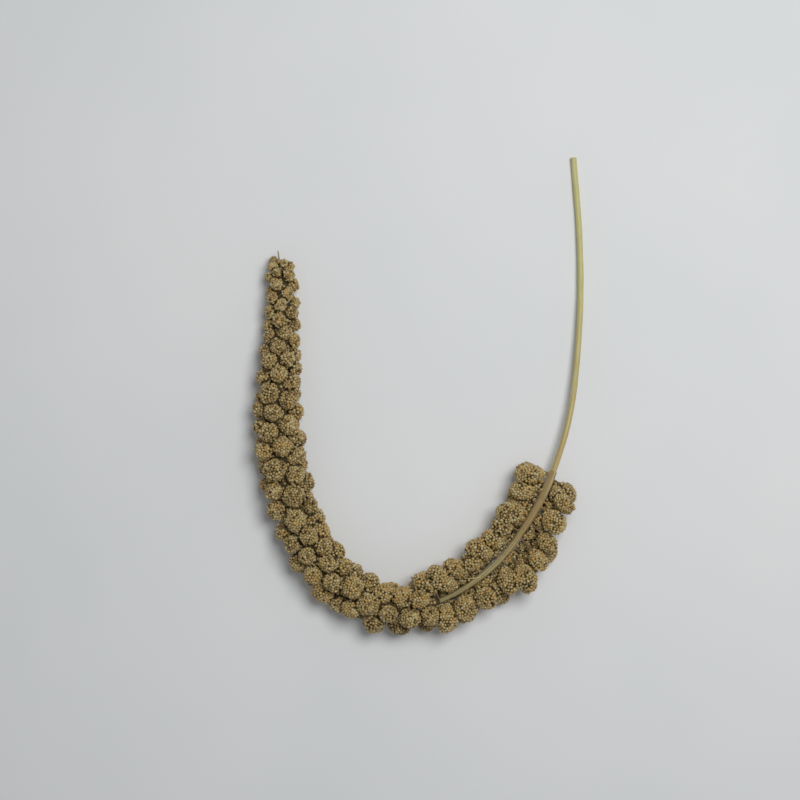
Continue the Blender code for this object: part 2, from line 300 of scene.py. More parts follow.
def grow_ball(place, turn, reach, radius, draw):
    """A ball on a side branch, turned this far round the rachis from the outer side of the bend."""
    along, side, up = stalk.frame(place)
    lean = math.radians(BRANCH_LEAN)
    outward = side * math.cos(turn) + up * math.sin(turn)
    axis = outward * math.cos(lean) - along * math.sin(lean)
    across = (along - axis * along.dot(axis)).normalized()
    root = stalk.point(place)
    flattened = side * math.cos(turn) + up * math.sin(turn) * HEAD_FLATTENING
    centre = root + (flattened - along * BRANCH_SWEEP) * reach
    shape = SPARSE_BALL_SHAPE if place > SPARSE_FROM else BALL_SHAPE
    radii = [radius * draw.uniform(*limits) for limits in shape]
    centre += axis * max(0.0, radii[0] - radius)
    ball = Ball(place, root, centre, (axis, across, axis.cross(across)), radii)
    ball.centre.z = max(ball.centre.z, ball.drop() - FOOT_DEPTH)
    return ball


print(f"a side branch leans {BRANCH_LEAN:.0f} degrees towards the tip")

# %% [markdown]
# Balls that grow close together push each other aside until they just touch. Here each crowded pair moves
# apart by a share of its squeeze, many rounds over. That is easiest on a straight stalk, so the push is
# worked out along the rachis and round it. In the sparse part the upper side of the rachis stays bare.

# %% Crowded balls move apart
CROWDING = 0.97
SPREAD_ROUNDS = 40
SPREAD_PUSH = 0.3
BARE_TOP_ANGLE = 70.0


def spread_apart(places, turns, reaches, radii):
    """Push crowded balls off each other, along the rachis and round it, as if the stalk were straight."""
    for _ in range(SPREAD_ROUNDS):
        points = np.column_stack([places, reaches * np.cos(turns), reaches * np.sin(turns)])
        apart = points[:, None] - points[None]
        gaps = np.linalg.norm(apart, axis=2)
        np.fill_diagonal(gaps, np.inf)
        squeeze = np.clip(CROWDING * (radii[:, None] + radii[None]) - gaps, 0, None)
        move = (apart * (squeeze / gaps)[..., None]).sum(axis=1) * SPREAD_PUSH
        places = places + move[:, 0]
        turns = turns + (move[:, 2] * np.cos(turns) - move[:, 1] * np.sin(turns)) / reaches
        turns = np.where(places > SPARSE_FROM, off_the_top(turns), turns)
    return places, turns


def off_the_top(turns):
    """Turns round the rachis, moved out of the stretch on its upper side that stays bare."""
    from_top = (turns + math.pi / 2) % (2 * math.pi) - math.pi
    bare = math.radians(BARE_TOP_ANGLE)
    moved = np.copysign(np.maximum(np.abs(from_top), bare), from_top)
    return moved + math.pi / 2


print(f"{SPREAD_ROUNDS} rounds will move the balls apart")

# %% [markdown]
# The balls wind round the rachis by the golden angle, as most plants set their branches, because that turn
# never lines two of them up. How far apart they follow each other depends on their size and on the girth of
# the head there. Towards the neck the head thins out: branches have broken off, and the rachis shows between
# the rest.

# %% All the balls of the head
HALF_WIDTH = [
    (6, 4.6), (9, 7.2), (19, 9.8), (36, 11.0), (52, 11.4), (68, 13.0), (92, 14.8), (114, 15.8), (400, 15.8)
]
BALL_RADIUS = [
    (6, 2.9), (20, 4.0), (40, 4.6), (62, 5.1), (85, 5.8), (120, 6.3), (155, 6.6), (265, 6.6), (372, 6.0)
]
BARE_POINT = 6.0
FIRST_BALL = 9.0
LAST_BALL_FROM_NECK = 14.0
GOLDEN_ANGLE = 137.508
BALL_SPACING = 2.19
SPACING_LEVEL = 0.35
HEXAGON_SHARE = math.sqrt(3) / 2
BALL_SIZE_SPREAD = 0.14
SPARSE_STEP = 0.475
SHORTEST_REACH = 1.0
LONGEST_INNER_REACH = 1.12
LONGEST_OUTER_REACH = [(262, 1.0), (285, 1.2), (302, 1.85), (334, 1.85), (346, 1.2), (372, 1.0)]
INNER_SIDE_KEPT = 0.9
TIP_BALL_STRETCH = 1.2
NECK_BALLS = ((10.0, 0.0, 6.5, 5.4), (2.5, 180.0, 12.5, 5.5))
SEED = 7


def lay_out_balls(draw):
    """Where the balls sit: they wind round the rachis by the golden angle, and are then pushed apart."""
    rows = []
    place, turn = FIRST_BALL, 0.0
    while place < stalk.neck - LAST_BALL_FROM_NECK:
        sparse = place > SPARSE_FROM
        radius = size_at(BALL_RADIUS, place) * draw.uniform(1 - BALL_SIZE_SPREAD, 1 + BALL_SIZE_SPREAD)
        reach = size_at(HALF_WIDTH, place) - radius
        girth = 2 * math.pi * (reach + SPACING_LEVEL * radius)
        angle_from_top = abs((turn + 90) % 360 - 180)
        inner = math.cos(math.radians(turn)) < 0
        fallen = inner and draw.random() > INNER_SIDE_KEPT
        if not sparse or (angle_from_top > BARE_TOP_ANGLE and not fallen):
            longest = LONGEST_INNER_REACH if inner else size_at(LONGEST_OUTER_REACH, place)
            length = draw.uniform(SHORTEST_REACH, longest) if sparse else 1.0
            rows.append((place, math.radians(turn), reach * length, radius))
        step = (BALL_SPACING * radius) ** 2 * HEXAGON_SHARE / girth
        place += step * SPARSE_STEP if sparse else step
        turn += GOLDEN_ANGLE
    places, turns, reaches, radii = np.array(rows).T
    places, turns = spread_apart(places, turns, reaches, radii)
    return zip(places, turns, reaches, radii)


def grow_balls():
    """Every ball of the head, with one at the tip and two close under the neck."""
    draw = random.Random(SEED)
    grown = [grow_ball(*row, draw) for row in lay_out_balls(draw)]
    along, side, up = stalk.frame(BARE_POINT)
    tip_radius = size_at(BALL_RADIUS, BARE_POINT)
    tip_place = BARE_POINT + tip_radius
    tip = stalk.point(tip_place)
    tip_radii = (tip_radius * TIP_BALL_STRETCH, tip_radius, tip_radius)
    grown.append(Ball(tip_place, tip, tip, (-along, side, up), tip_radii))
    for from_neck, turn, reach, radius in NECK_BALLS:
        grown.append(grow_ball(stalk.neck - from_neck, math.radians(turn), reach, radius, draw))
    return grown


balls = grow_balls()
print(f"{len(balls)} balls, {2 * min(min(b.radii) for b in balls):.1f} to "
      f"{2 * max(max(b.radii) for b in balls):.1f} mm across")

# %% [markdown]
# Two geometry trees do all the growing, and each is built once and used for many pieces.
# The first draws a tube round a line: the stem, the rachis, the side branches. A dry grass stalk isn't a
# smooth pipe. It has fine ridges along it where the fibres stood and the soft tissue between them shrank. So
# the tree pushes the tube's skin in and out by a noise that is read round the tube and hardly changes along
# it. A noise is better than evenly spaced ribs, because the fibres of a real stalk are of many widths.

# %% A tree that draws a ridged stalk round a line
def new_tree(name, sockets):
    """An empty geometry tree with these named inputs, its input node and its output node."""
    tree = bpy.data.node_groups.new(name, "GeometryNodeTree")
    for title, kind in sockets:
        tree.interface.new_socket(title, in_out="INPUT", socket_type=kind)
    tree.interface.new_socket("Mesh", in_out="OUTPUT", socket_type="NodeSocketGeometry")
    return tree, add(tree, "NodeGroupInput").outputs


def stalk_tree():
    """A closed tube round each line, as thick as its points say, with ridges along it."""
    tree, given = new_tree("stalk", [
        ("Lines", "NodeSocketGeometry"),
        ("Sides", "NodeSocketInt"),
        ("Ridge depth", "NodeSocketFloat"),
        ("Ridges", "NodeSocketFloat"),
        ("Material", "NodeSocketMaterial"),
    ])
    lines = add(tree, "GeometryNodeMeshToCurve", {"Mesh": given["Lines"]})
    circle = add(tree, "GeometryNodeCurvePrimitiveCircle", {"Resolution": given["Sides"], "Radius": 1.0})
    on_circle = add(tree, "GeometryNodeInputPosition")
    ring = add(tree, "GeometryNodeStoreNamedAttribute",
               {"Geometry": circle, "Name": "round", "Value": on_circle},
               data_type="FLOAT_VECTOR", domain="POINT")
    thickness = add(tree, "GeometryNodeInputNamedAttribute", {"Name": "thickness"}, data_type="FLOAT")
    tube = add(tree, "GeometryNodeCurveToMesh",
               {"Curve": lines, "Profile Curve": ring, "Scale": thickness, "Fill Caps": True})
    round_it = add(tree, "GeometryNodeInputNamedAttribute", {"Name": "round"}, data_type="FLOAT_VECTOR")
    fibres = add(tree, "ShaderNodeTexNoise",
                 {"Vector": round_it, "Scale": given["Ridges"], "Detail": 2.0})
    raised = add(tree, "ShaderNodeMath", {0: fibres, 1: 0.5}, operation="SUBTRACT")
    depth = add(tree, "ShaderNodeMath", {0: raised, 1: given["Ridge depth"]}, operation="MULTIPLY")
    normal = add(tree, "GeometryNodeInputNormal")
    push = add(tree, "ShaderNodeVectorMath", {0: normal, "Scale": depth}, operation="SCALE")
    marked = add(tree, "GeometryNodeStoreNamedAttribute",
                 {"Geometry": tube, "Name": "ridge", "Value": fibres.outputs["Fac"]},
                 data_type="FLOAT", domain="POINT")
    ridged = add(tree, "GeometryNodeSetPosition", {"Geometry": marked, "Offset": push})
    smooth = add(tree, "GeometryNodeSetShadeSmooth", {0: ridged, "Shade Smooth": True})
    whole = add(tree, "GeometryNodeRealizeInstances", {0: smooth})
    painted = add(tree, "GeometryNodeSetMaterial", {"Geometry": whole, "Material": given["Material"]})
    add(tree, "NodeGroupOutput", {0: painted})
    return tree


STALKS = stalk_tree()
print(f"the stalk tree has {len(STALKS.nodes)} nodes")

# %% [markdown]
# The second tree sets a small shape on each of many seats: a grain, a glume, a bristle, a hair.
# A seat is a point that knows which way is outward, which way is sideways, and how large its shape is. The
# tree turns the shape to suit, tilts it a little by chance, and picks one of two shapes, since no two grains
# sit quite alike. The seed is fixed, so the head grows the same way each time. The Random Value node has its
# own sockets for vectors, numbers and yes-or-no choices.

# %% A tree that sets shapes on seats
VECTOR_LEAST, VECTOR_MOST, NUMBER_LEAST, NUMBER_MOST, CHANCE_OF_YES, RANDOM_SEED = 0, 1, 2, 3, 6, 8
RANDOM_NUMBER, RANDOM_CHOICE = 1, 3


def seat_tree():
    """One of two shapes on each seat, turned outward, with a chance tilt and a chance share of its size."""
    tree, given = new_tree("seats", [
        ("Seats", "NodeSocketGeometry"),
        ("Shape", "NodeSocketObject"),
        ("Other shape", "NodeSocketObject"),
        ("Share of the other", "NodeSocketFloat"),
        ("Tilt", "NodeSocketFloat"),
        ("Size spread", "NodeSocketFloat"),
        ("Seed", "NodeSocketInt"),
        ("Material", "NodeSocketMaterial"),
    ])
    shape = add(tree, "GeometryNodeObjectInfo", {"Object": given["Shape"], "As Instance": True})
    other = add(tree, "GeometryNodeObjectInfo", {"Object": given["Other shape"], "As Instance": True})
    both = add(tree, "GeometryNodeJoinGeometry", {0: shape.outputs["Geometry"]})
    tree.links.new(other.outputs["Geometry"], both.inputs[0])
    outward = add(tree, "GeometryNodeInputNamedAttribute", {"Name": "outward"}, data_type="FLOAT_VECTOR")
    sideways = add(tree, "GeometryNodeInputNamedAttribute", {"Name": "sideways"}, data_type="FLOAT_VECTOR")
    up = add(tree, "FunctionNodeAlignRotationToVector", {"Vector": outward}, axis="Z")
    turned = add(tree, "FunctionNodeAlignRotationToVector", {"Rotation": up, "Vector": sideways},
                 axis="X", pivot_axis="Z")
    back = add(tree, "ShaderNodeMath", {0: given["Tilt"], 1: -1.0}, operation="MULTIPLY")
    least = add(tree, "ShaderNodeCombineXYZ", {"X": back, "Y": back})
    most = add(tree, "ShaderNodeCombineXYZ", {"X": given["Tilt"], "Y": given["Tilt"]})
    tilt = add(tree, "FunctionNodeRandomValue",
               {VECTOR_LEAST: least, VECTOR_MOST: most, RANDOM_SEED: given["Seed"]},
               data_type="FLOAT_VECTOR")
    lean = add(tree, "FunctionNodeEulerToRotation", {0: tilt})
    tilted = add(tree, "FunctionNodeRotateRotation", {0: turned, 1: lean}, rotation_space="LOCAL")
    smallest = add(tree, "ShaderNodeMath", {0: 1.0, 1: given["Size spread"]}, operation="SUBTRACT")
    largest = add(tree, "ShaderNodeMath", {0: 1.0, 1: given["Size spread"]}, operation="ADD")
    share = add(tree, "FunctionNodeRandomValue",
                {NUMBER_LEAST: smallest, NUMBER_MOST: largest, RANDOM_SEED: given["Seed"]},
                data_type="FLOAT")
    size = add(tree, "GeometryNodeInputNamedAttribute", {"Name": "size"}, data_type="FLOAT_VECTOR")
    scale = add(tree, "ShaderNodeVectorMath", {0: size, "Scale": share.outputs[RANDOM_NUMBER]},
                operation="SCALE")
    pick = add(tree, "FunctionNodeRandomValue",
               {CHANCE_OF_YES: given["Share of the other"], RANDOM_SEED: given["Seed"]},
               data_type="BOOLEAN")
    placed = add(tree, "GeometryNodeInstanceOnPoints", {
        "Points": given["Seats"], "Instance": both, "Pick Instance": True,
        "Instance Index": pick.outputs[RANDOM_CHOICE], "Rotation": tilted, "Scale": scale,
    })
    whole = add(tree, "GeometryNodeRealizeInstances", {0: placed})
    painted = add(tree, "GeometryNodeSetMaterial", {"Geometry": whole, "Material": given["Material"]})
    add(tree, "NodeGroupOutput", {0: painted})
    return tree


SEATS = seat_tree()
print(f"the seat tree has {len(SEATS.nodes)} nodes")

# %% [markdown]
# A tree is put to work by a modifier. Its inputs are set before Blender first evaluates the object, and then
# the result is turned into a plain mesh and the modifier taken off, so that the finished piece is only a
# mesh at the origin. Each piece rides on the one body and stands for its node of the imported model. Two
# short functions write down what each tree is to do.

# %% Growing a piece and handing it over
grown_triangles = {}


def press_on_floor(mesh):
    """Flatten by a hair what would reach below the floor, as the head's own weight does."""
    corners = np.empty(len(mesh.vertices) * 3, np.float32)
    mesh.vertices.foreach_get("co", corners)
    corners[2::3] = np.maximum(corners[2::3], 0.0)
    mesh.vertices.foreach_set("co", corners)


def grow(name, points, tree, settings, node):
    """Run a tree on a mesh of points, keep the result as a plain mesh, and hand it to the frame."""
    piece = bpy.data.objects.new(name, points)
    bpy.context.scene.collection.objects.link(piece)
    modifier = piece.modifiers.new("growth", "NODES")
    modifier.node_group = tree
    sockets = [item for item in tree.interface.items_tree if item.in_out == "INPUT"]
    identifiers = {item.name: item.identifier for item in sockets}
    for title, value in settings.items():
        modifier[identifiers[title]] = value
    evaluated = piece.evaluated_get(bpy.context.evaluated_depsgraph_get())
    mesh = bpy.data.meshes.new_from_object(evaluated)
    piece.modifiers.remove(modifier)
    press_on_floor(mesh)
    piece.data = mesh
    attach(piece, "root")
    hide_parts(node)
    grown_triangles[name] = sum(len(face.vertices) - 2 for face in mesh.polygons)
    print(f"{name}: {grown_triangles[name]} triangles")
    return piece


def tube_look(sides, ridge_depth, ridges, material):
    """The stalk tree's settings."""
    return {"Sides": sides, "Ridge depth": ridge_depth * MM, "Ridges": ridges, "Material": material}


def seat_look(shape, material, tilt=0.0, size_spread=0.0, seed=1, other=None, other_share=0.0):
    """The seat tree's settings: one shape, unless another is given, and the greatest tilt in degrees."""
    return {"Shape": shape, "Other shape": other or shape, "Share of the other": other_share,
            "Tilt": math.radians(tilt), "Size spread": size_spread, "Seed": seed, "Material": material}


print("pieces grown so far:", len(grown_triangles))

# %% [markdown]
# Straw is the dried outer skin of a grass stem: tight fibres under a thin waxy skin. It has long fine
# streaks that run the whole way, a soft shine, and a green that fades to yellow as it dries. Here the colour
# goes from a pale greenish yellow at the cut end to tan at the neck, where the stem was drier and handled
# more. The streaks are a noise that is stretched along the stalk. It is read from values that the tree left
# on the skin, "round" and "along", so it follows every bend, and a third value, "ridge", finds the grooves,
# which are darkened as painted shade. The rachis and its side branches are the same plant tissue, browner
# and duller, so one function makes all three skins.

# %% Straw
STREAK_WIDTH = 0.35
STALK_RADIUS = 1.8
STREAK_STRETCH = 0.02
BROAD_STREAKS = 1.6
PATCHES_TO_A_METRE = 90.0
WAXY_IOR = 1.5


def stalk_skin(name, fresh, dry, dark_streak_and_groove_shade, streak_pale, turns_dry, groove_shade, roughness):
    """The skin of a dry stalk: two colours along it, streaks that run with it, and grooves darkened as painted
    shade.
    """
    made, tree, shader = new_material(name)
    around = add(tree, "ShaderNodeAttribute", attribute_name="round")
    along = add(tree, "ShaderNodeAttribute", attribute_name="along")
    ridge = add(tree, "ShaderNodeAttribute", attribute_name="ridge")
    place = add(tree, "ShaderNodeTexCoord")
    stretched = add(tree, "ShaderNodeMath", {0: along.outputs["Fac"], 1: STREAK_STRETCH},
                    operation="MULTIPLY")
    rise = add(tree, "ShaderNodeCombineXYZ", {"Z": stretched})
    on_skin = add(tree, "ShaderNodeVectorMath", {0: around.outputs["Vector"], 1: rise}, operation="ADD")
    fine = add(tree, "ShaderNodeTexNoise",
               {"Vector": on_skin, "Scale": STALK_RADIUS / STREAK_WIDTH, "Detail": 4.0, "Roughness": 0.65})
    broad = add(tree, "ShaderNodeTexNoise", {"Vector": on_skin, "Scale": BROAD_STREAKS, "Detail": 2.0})
    patches = add(tree, "ShaderNodeTexNoise",
                  {"Vector": place.outputs["Object"], "Scale": PATCHES_TO_A_METRE, "Detail": 3.0})
    ripe = add(tree, "ShaderNodeMapRange",
               {VALUE: along.outputs["Fac"], FROM_LOW: turns_dry[1], FROM_HIGH: turns_dry[0]})
    body = add(tree, "ShaderNodeMix", {MIX_SHARE: ripe, MIX_A: linear(fresh), MIX_B: linear(dry)},
               data_type="RGBA")
    dark = add(tree, "ShaderNodeMapRange",
               {VALUE: fine, FROM_LOW: 0.52, FROM_HIGH: 0.72, TO_LOW: 0.0, TO_HIGH: 0.75})
    streaked = add(tree, "ShaderNodeMix",
                   {MIX_SHARE: dark, MIX_A: body.outputs[MIXED], MIX_B: linear(dark_streak_and_groove_shade)},
                   data_type="RGBA")
    pale = add(tree, "ShaderNodeMapRange",
               {VALUE: broad, FROM_LOW: 0.5, FROM_HIGH: 0.7, TO_LOW: 0.0, TO_HIGH: 0.7})
    lit = add(tree, "ShaderNodeMix",
              {MIX_SHARE: pale, MIX_A: streaked.outputs[MIXED], MIX_B: linear(streak_pale)},
              data_type="RGBA")
    worn = add(tree, "ShaderNodeMapRange",
               {VALUE: patches, FROM_LOW: 0.55, FROM_HIGH: 0.75, TO_LOW: 0.0, TO_HIGH: 0.4})
    skin = add(tree, "ShaderNodeMix", {MIX_SHARE: worn, MIX_A: lit.outputs[MIXED], MIX_B: linear(dry)},
               data_type="RGBA")
    # Painted shade: the grooves, where the ridge noise pushes the skin in, are darkened towards the dark
    # streak colour.
    painted_groove_shade = add(tree, "ShaderNodeMapRange",
                 {VALUE: ridge.outputs["Fac"], FROM_LOW: 0.54, FROM_HIGH: 0.4,
                  TO_LOW: 0.0, TO_HIGH: groove_shade})
    with_groove_shade = add(tree, "ShaderNodeMix",
                  {MIX_SHARE: painted_groove_shade, MIX_A: skin.outputs[MIXED], MIX_B: linear(dark_streak_and_groove_shade)},
                  data_type="RGBA")
    bump = add(tree, "ShaderNodeBump", {"Height": fine, "Strength": 0.35, "Distance": 0.05 * MM})
    tree.links.new(with_groove_shade.outputs[MIXED], shader.inputs["Base Color"])
    tree.links.new(bump.outputs[0], shader.inputs["Normal"])
    shader.inputs["Roughness"].default_value = roughness
    shader.inputs["IOR"].default_value = WAXY_IOR
    return made


STRAW = stalk_skin("waxy_straw", "#CFCB88", "#BFA468", "#968853", "#DCD49A",
                   (stalk.neck, stalk.neck + 120.0), 0.3, 0.42)
RACHIS_SKIN = stalk_skin("dry_rachis", "#B2955E", "#A69D68", "#64512E", "#D8CB9C",
                         (stalk.neck - 110.0, stalk.neck - 30.0), 0.5, 0.6)
BRANCH_SKIN = stalk_skin("dry_side_branch", "#94794A", "#8C7345", "#5F4E2E", "#AF9A66",
                         (0.0, stalk.neck), 0.9, 0.7)
print("finishes:", STRAW.name, RACHIS_SKIN.name, BRANCH_SKIN.name)

# %% [markdown]
# The stem is a tube of sixty sides round its stretch of the stalk, enough for its ridges to show. It swells
# and narrows by a hair as it goes, which keeps its outline from looking drawn with a ruler. It starts a
# little before the neck, so that it stands in the rachis's ring and leaves no gap there.

# %% The stem
STEM_STEP = 1.6
STEM_RADIUS_AT_NECK = 1.72
STEM_RADIUS_AT_CUT = 1.7
STEM_SWELL = 0.03
SWELL_LENGTH = 23.0
NECK_LAP = 0.8


def lines_mesh(name, lines):
    """Lines as one mesh, each a list of (point, thickness, along), for the stalk tree."""
    points, thickness, along, edges = [], [], [], []
    for line in lines:
        first = len(points)
        points += [tuple(point) for point, _, _ in line]
        thickness += [radius * MM for _, radius, _ in line]
        along += [distance for _, _, distance in line]
        edges += [(k, k + 1) for k in range(first, len(points) - 1)]
    return points_mesh(name, points, edges, thickness=thickness, along=along)


def stalk_line(start, stop, step, radius):
    """The stalk's own line from start to stop, with a radius that depends on the distance."""
    places = np.linspace(start, stop, max(3, round((stop - start) / step) + 1))
    return [(stalk.point(place), radius(place), place) for place in places]


def stem_radius(place):
    """The stem keeps nearly the same thickness, and swells and narrows by a hair on the way."""
    usual = np.interp(place, [stalk.neck, stalk.length], [STEM_RADIUS_AT_NECK, STEM_RADIUS_AT_CUT])
    return float(usual) + STEM_SWELL * math.sin(2 * math.pi * place / SWELL_LENGTH)


stem_line = stalk_line(stalk.neck - NECK_LAP, stalk.length, STEM_STEP, stem_radius)
stem = grow("stem_straw", lines_mesh("stem_straw", [stem_line]), STALKS,
            tube_look(sides=60, ridge_depth=0.3, ridges=3.2, material=STRAW), "stem")

# %% [markdown]
# Inside the head the stalk is the rachis. In the dense part the head is imported solid: the hearts of the
# balls and the chaff between them let no light through, so there a dark ridged core takes the rachis's
# place. Chaff is a mix of torn husks, bristle ends and dust. Its material is rough and blotched, and its dark
# olive brown is partly the chaff's own colour and partly painted shade for the gaps between grains.

# %% Chaff
CHAFF_BLOTCH = 0.9


def chaff_with_painted_shade():
    """Packed chaff: rough, blotched at the scale of half a grain, and dark, partly with painted shade for the
    gaps between grains.
    """
    made, tree, shader = new_material("packed_chaff_with_painted_shade")
    place = add(tree, "ShaderNodeTexCoord")
    blotch = add(tree, "ShaderNodeTexNoise",
                 {"Vector": place.outputs["Object"], "Scale": 1 / (CHAFF_BLOTCH * MM), "Detail": 3.0})
    # The dark stops are partly the chaff's own brown and partly painted shade for the gaps between grains.
    colour = add(tree, "ShaderNodeValToRGB", {0: blotch},
                 stops=[(0.35, "#2C2417"), (0.55, "#4C3F28"), (0.72, "#7A6741")])
    tree.links.new(colour.outputs[0], shader.inputs["Base Color"])
    bump = add(tree, "ShaderNodeBump", {"Height": blotch, "Strength": 0.8, "Distance": 0.3 * MM})
    tree.links.new(bump.outputs[0], shader.inputs["Normal"])
    shader.inputs["Roughness"].default_value = 0.9
    return made


CHAFF_WITH_PAINTED_SHADE = chaff_with_painted_shade()
print("finish:", CHAFF_WITH_PAINTED_SHADE.name)

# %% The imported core
CORE_RADIUS = [
    (6, 0.5), (9, 1.6), (24, 4.6), (60, 5.6), (120, 6.4), (250, 6.2), (268, 1.2), (290, 1.45), (350, 2.0)
]
CORE_SHARE = 0.9
CORE_FROM = 9.0
CORE_TO = 268.0
CORE_STEP = 3.0


def core_radius(place):
    return size_at(CORE_RADIUS, place) * CORE_SHARE


core_line = stalk_line(CORE_FROM, CORE_TO, CORE_STEP, core_radius)
core = grow("packed_core", lines_mesh("packed_core", [core_line]), STALKS,
            tube_look(sides=20, ridge_depth=1.2, ridges=2.5, material=CHAFF_WITH_PAINTED_SHADE), "seed_head")

# %% [markdown]
# The rachis shows at the bare point of the head, which tapers to a torn tip, and again near the neck, where
# it is grooved and brown. It swells where a branch leaves it, and ends in a raised ring at the neck. Where a
# branch has broken off, a short peg is left.

# %% The rachis
POINT_STEP = 1.0
BARE_POINT_RADIUS = 0.4
POINT_TIP_SHARE = 0.55
POINT_LAP = 4.0
RACHIS_STEP = 0.7
RACHIS_SHOWS_FROM = 244.0
RACHIS_RADIUS = [(244, 1.2), (268, 1.2), (290, 1.5), (335, 2.0), (360, 2.15), (400, 2.1)]
NODE_SWELL = 0.16
NODE_LENGTH = 1.6
NECK_RING = [(-9.0, 0.0), (-2.6, -0.1), (-1.5, 0.14), (-0.9, 0.16), (-0.2, -0.3)]
STUBS = ((47.0, 10.0, 2.3), (33.0, 195.0, 2.0), (21.0, 35.0, 1.8), (79.0, 160.0, 1.9), (12.0, 150.0, 2.2))
STUB_RADII = (0.85, 0.6)
STUB_LEAN = 0.4


def point_radius(place):
    """The bare point is about half as thick at its torn tip as where it meets the grains."""
    return BARE_POINT_RADIUS * (POINT_TIP_SHARE + (1 - POINT_TIP_SHARE) * place / FIRST_BALL)


def rachis_radius(place):
    """The rachis swells where a branch leaves it, and ends in a raised ring at the neck."""
    swell = sum(math.exp(-(((place - ball.place) / NODE_LENGTH) ** 2)) for ball in balls)
    ring = size_at(NECK_RING, place - stalk.neck)
    return size_at(RACHIS_RADIUS, place) + NODE_SWELL * min(swell, 1.0) + ring


def stub_line(from_neck, turn, length):
    """What is left of a broken branch: a short peg that ends flat."""
    place = stalk.neck - from_neck
    along, _, _ = stalk.frame(place)
    way = (stalk.way_off(place, turn) - along * STUB_LEAN).normalized()
    reach = size_at(RACHIS_RADIUS, place) + length
    root = stalk.point(place)
    return [(root + way * reach * step, float(np.interp(step, [0, 1], STUB_RADII)), place)
            for step in (0.0, 0.5, 1.0)]


rachis_lines = [
    stalk_line(0.0, FIRST_BALL + POINT_LAP, POINT_STEP, point_radius),
    stalk_line(RACHIS_SHOWS_FROM, stalk.neck, RACHIS_STEP, rachis_radius),
    *[stub_line(*stub) for stub in STUBS],
]
grow("rachis", lines_mesh("rachis", rachis_lines), STALKS,
     tube_look(sides=48, ridge_depth=1.1, ridges=2.6, material=RACHIS_SKIN), "seed_head")

# %% [markdown]
# One pale fibre has torn loose from the rachis and lies across the grains beside it. It thins to nothing, so
# it is a line of four points with a radius at each.

# %% A torn fibre
FIBRE = ((36.5, -106.4, 14.6), (33.8, -107.1, 15.4), (29.5, -107.3, 15.9), (25.0, -106.9, 15.7))
FIBRE_RADII = (0.3, 0.26, 0.2, 0.06)

fibre_line = [(Vector(point), radius, stalk.length) for point, radius in zip(FIBRE, FIBRE_RADII)]
grow("torn_fibre", lines_mesh("torn_fibre", [fibre_line]), STALKS,
     tube_look(sides=6, ridge_depth=0.0, ridges=1.0, material=STRAW), "seed_head")

# %% [markdown]
# The side branches show only where the balls stand apart. Each leaves the rachis at a slant and curves out
# to its ball, because it grew upwards along the stalk before the grains pulled it down.

# %% The side branches
BRANCHES_SHOW_FROM = 252.0
BRANCH_RADII = (0.6, 0.5)
BRANCH_POINTS = 7
BRANCH_SAG = 1.4


def branch_line(ball):
    """From the rachis to the ball's centre, bowed towards the neck."""
    along, _, _ = stalk.frame(ball.place)
    line = []
    for step in np.linspace(0, 1, BRANCH_POINTS):
        bow = along * BRANCH_SAG * 4 * step * (1 - step)
        point = ball.root.lerp(ball.centre, step) + bow
        line.append((point, float(np.interp(step, [0, 1], BRANCH_RADII)), ball.place))
    return line


branch_lines = [branch_line(ball) for ball in balls if ball.place > BRANCHES_SHOW_FROM]
grow("side_branches", lines_mesh("side_branches", branch_lines), STALKS,
     tube_look(sides=10, ridge_depth=0.25, ridges=1.5, material=BRANCH_SKIN), "seed_head")
print(f"{len(branch_lines)} side branches show")

# %% [markdown]
# Each ball has a heart of chaff that its grains stand out of. A round shape of eighty faces is enough,
# since only its darkness shows between the grains, and that darkness is partly painted shade. Some hearts
# reach over the bare rachis. Their corners there are lowered until the rachis shows from above.

# %% The hearts of the balls
HEART_LEVEL = 0.82
HEART_DEPTH = 1.3
HEART_CLEARANCE = 0.4
RACHIS_BARE_FROM = 267.0


def shape_object(name, mesh):
    """A small shape for the seat tree to copy. It is in no collection, so it never shows itself."""
    mesh.shade_smooth()
    return bpy.data.objects.new(name, mesh)


def heart_shape():
    ball_mesh = bmesh.new()
    bmesh.ops.create_icosphere(ball_mesh, subdivisions=2, radius=1.0)
    mesh = bpy.data.meshes.new("heart_shape")
    ball_mesh.to_mesh(mesh)
    ball_mesh.free()
    return shape_object("heart_shape", mesh)


def heart_radius(radius):
    """A heart stays deep enough under its grains, on a small ball too."""
    return min(radius * HEART_LEVEL, radius - HEART_DEPTH)


def heart_seats():
    centres = [tuple(ball.centre) for ball in balls]
    outward = [tuple(ball.axes[0]) for ball in balls]
    sideways = [tuple(ball.axes[1]) for ball in balls]
    sizes = [[heart_radius(ball.radii[k]) * MM for k in (1, 2, 0)] for ball in balls]
    for centre, ball in zip(centres, balls):
        assert ball.drop() * HEART_LEVEL < centre[2], "a heart would sink into the floor"
    return points_mesh("ball_hearts", centres, outward=outward, sideways=sideways, size=sizes)


def over_rachis(points, margin):
    """Which points hide the bare rachis from above, and where on it each would come to lie."""
    bare = np.arange(RACHIS_BARE_FROM, stalk.neck, 1.0)
    line = np.array([tuple(stalk.point(place)) for place in bare])
    widths = np.array([rachis_radius(place) for place in bare])
    gaps = np.linalg.norm(points[:, None, :2] - line[None, :, :2], axis=2)
    nearest = gaps.argmin(axis=1)
    above = points[:, 2] > line[nearest, 2] - widths[nearest]
    return above & (gaps.min(axis=1) < widths[nearest] + margin), line[nearest, 2] - widths[nearest]


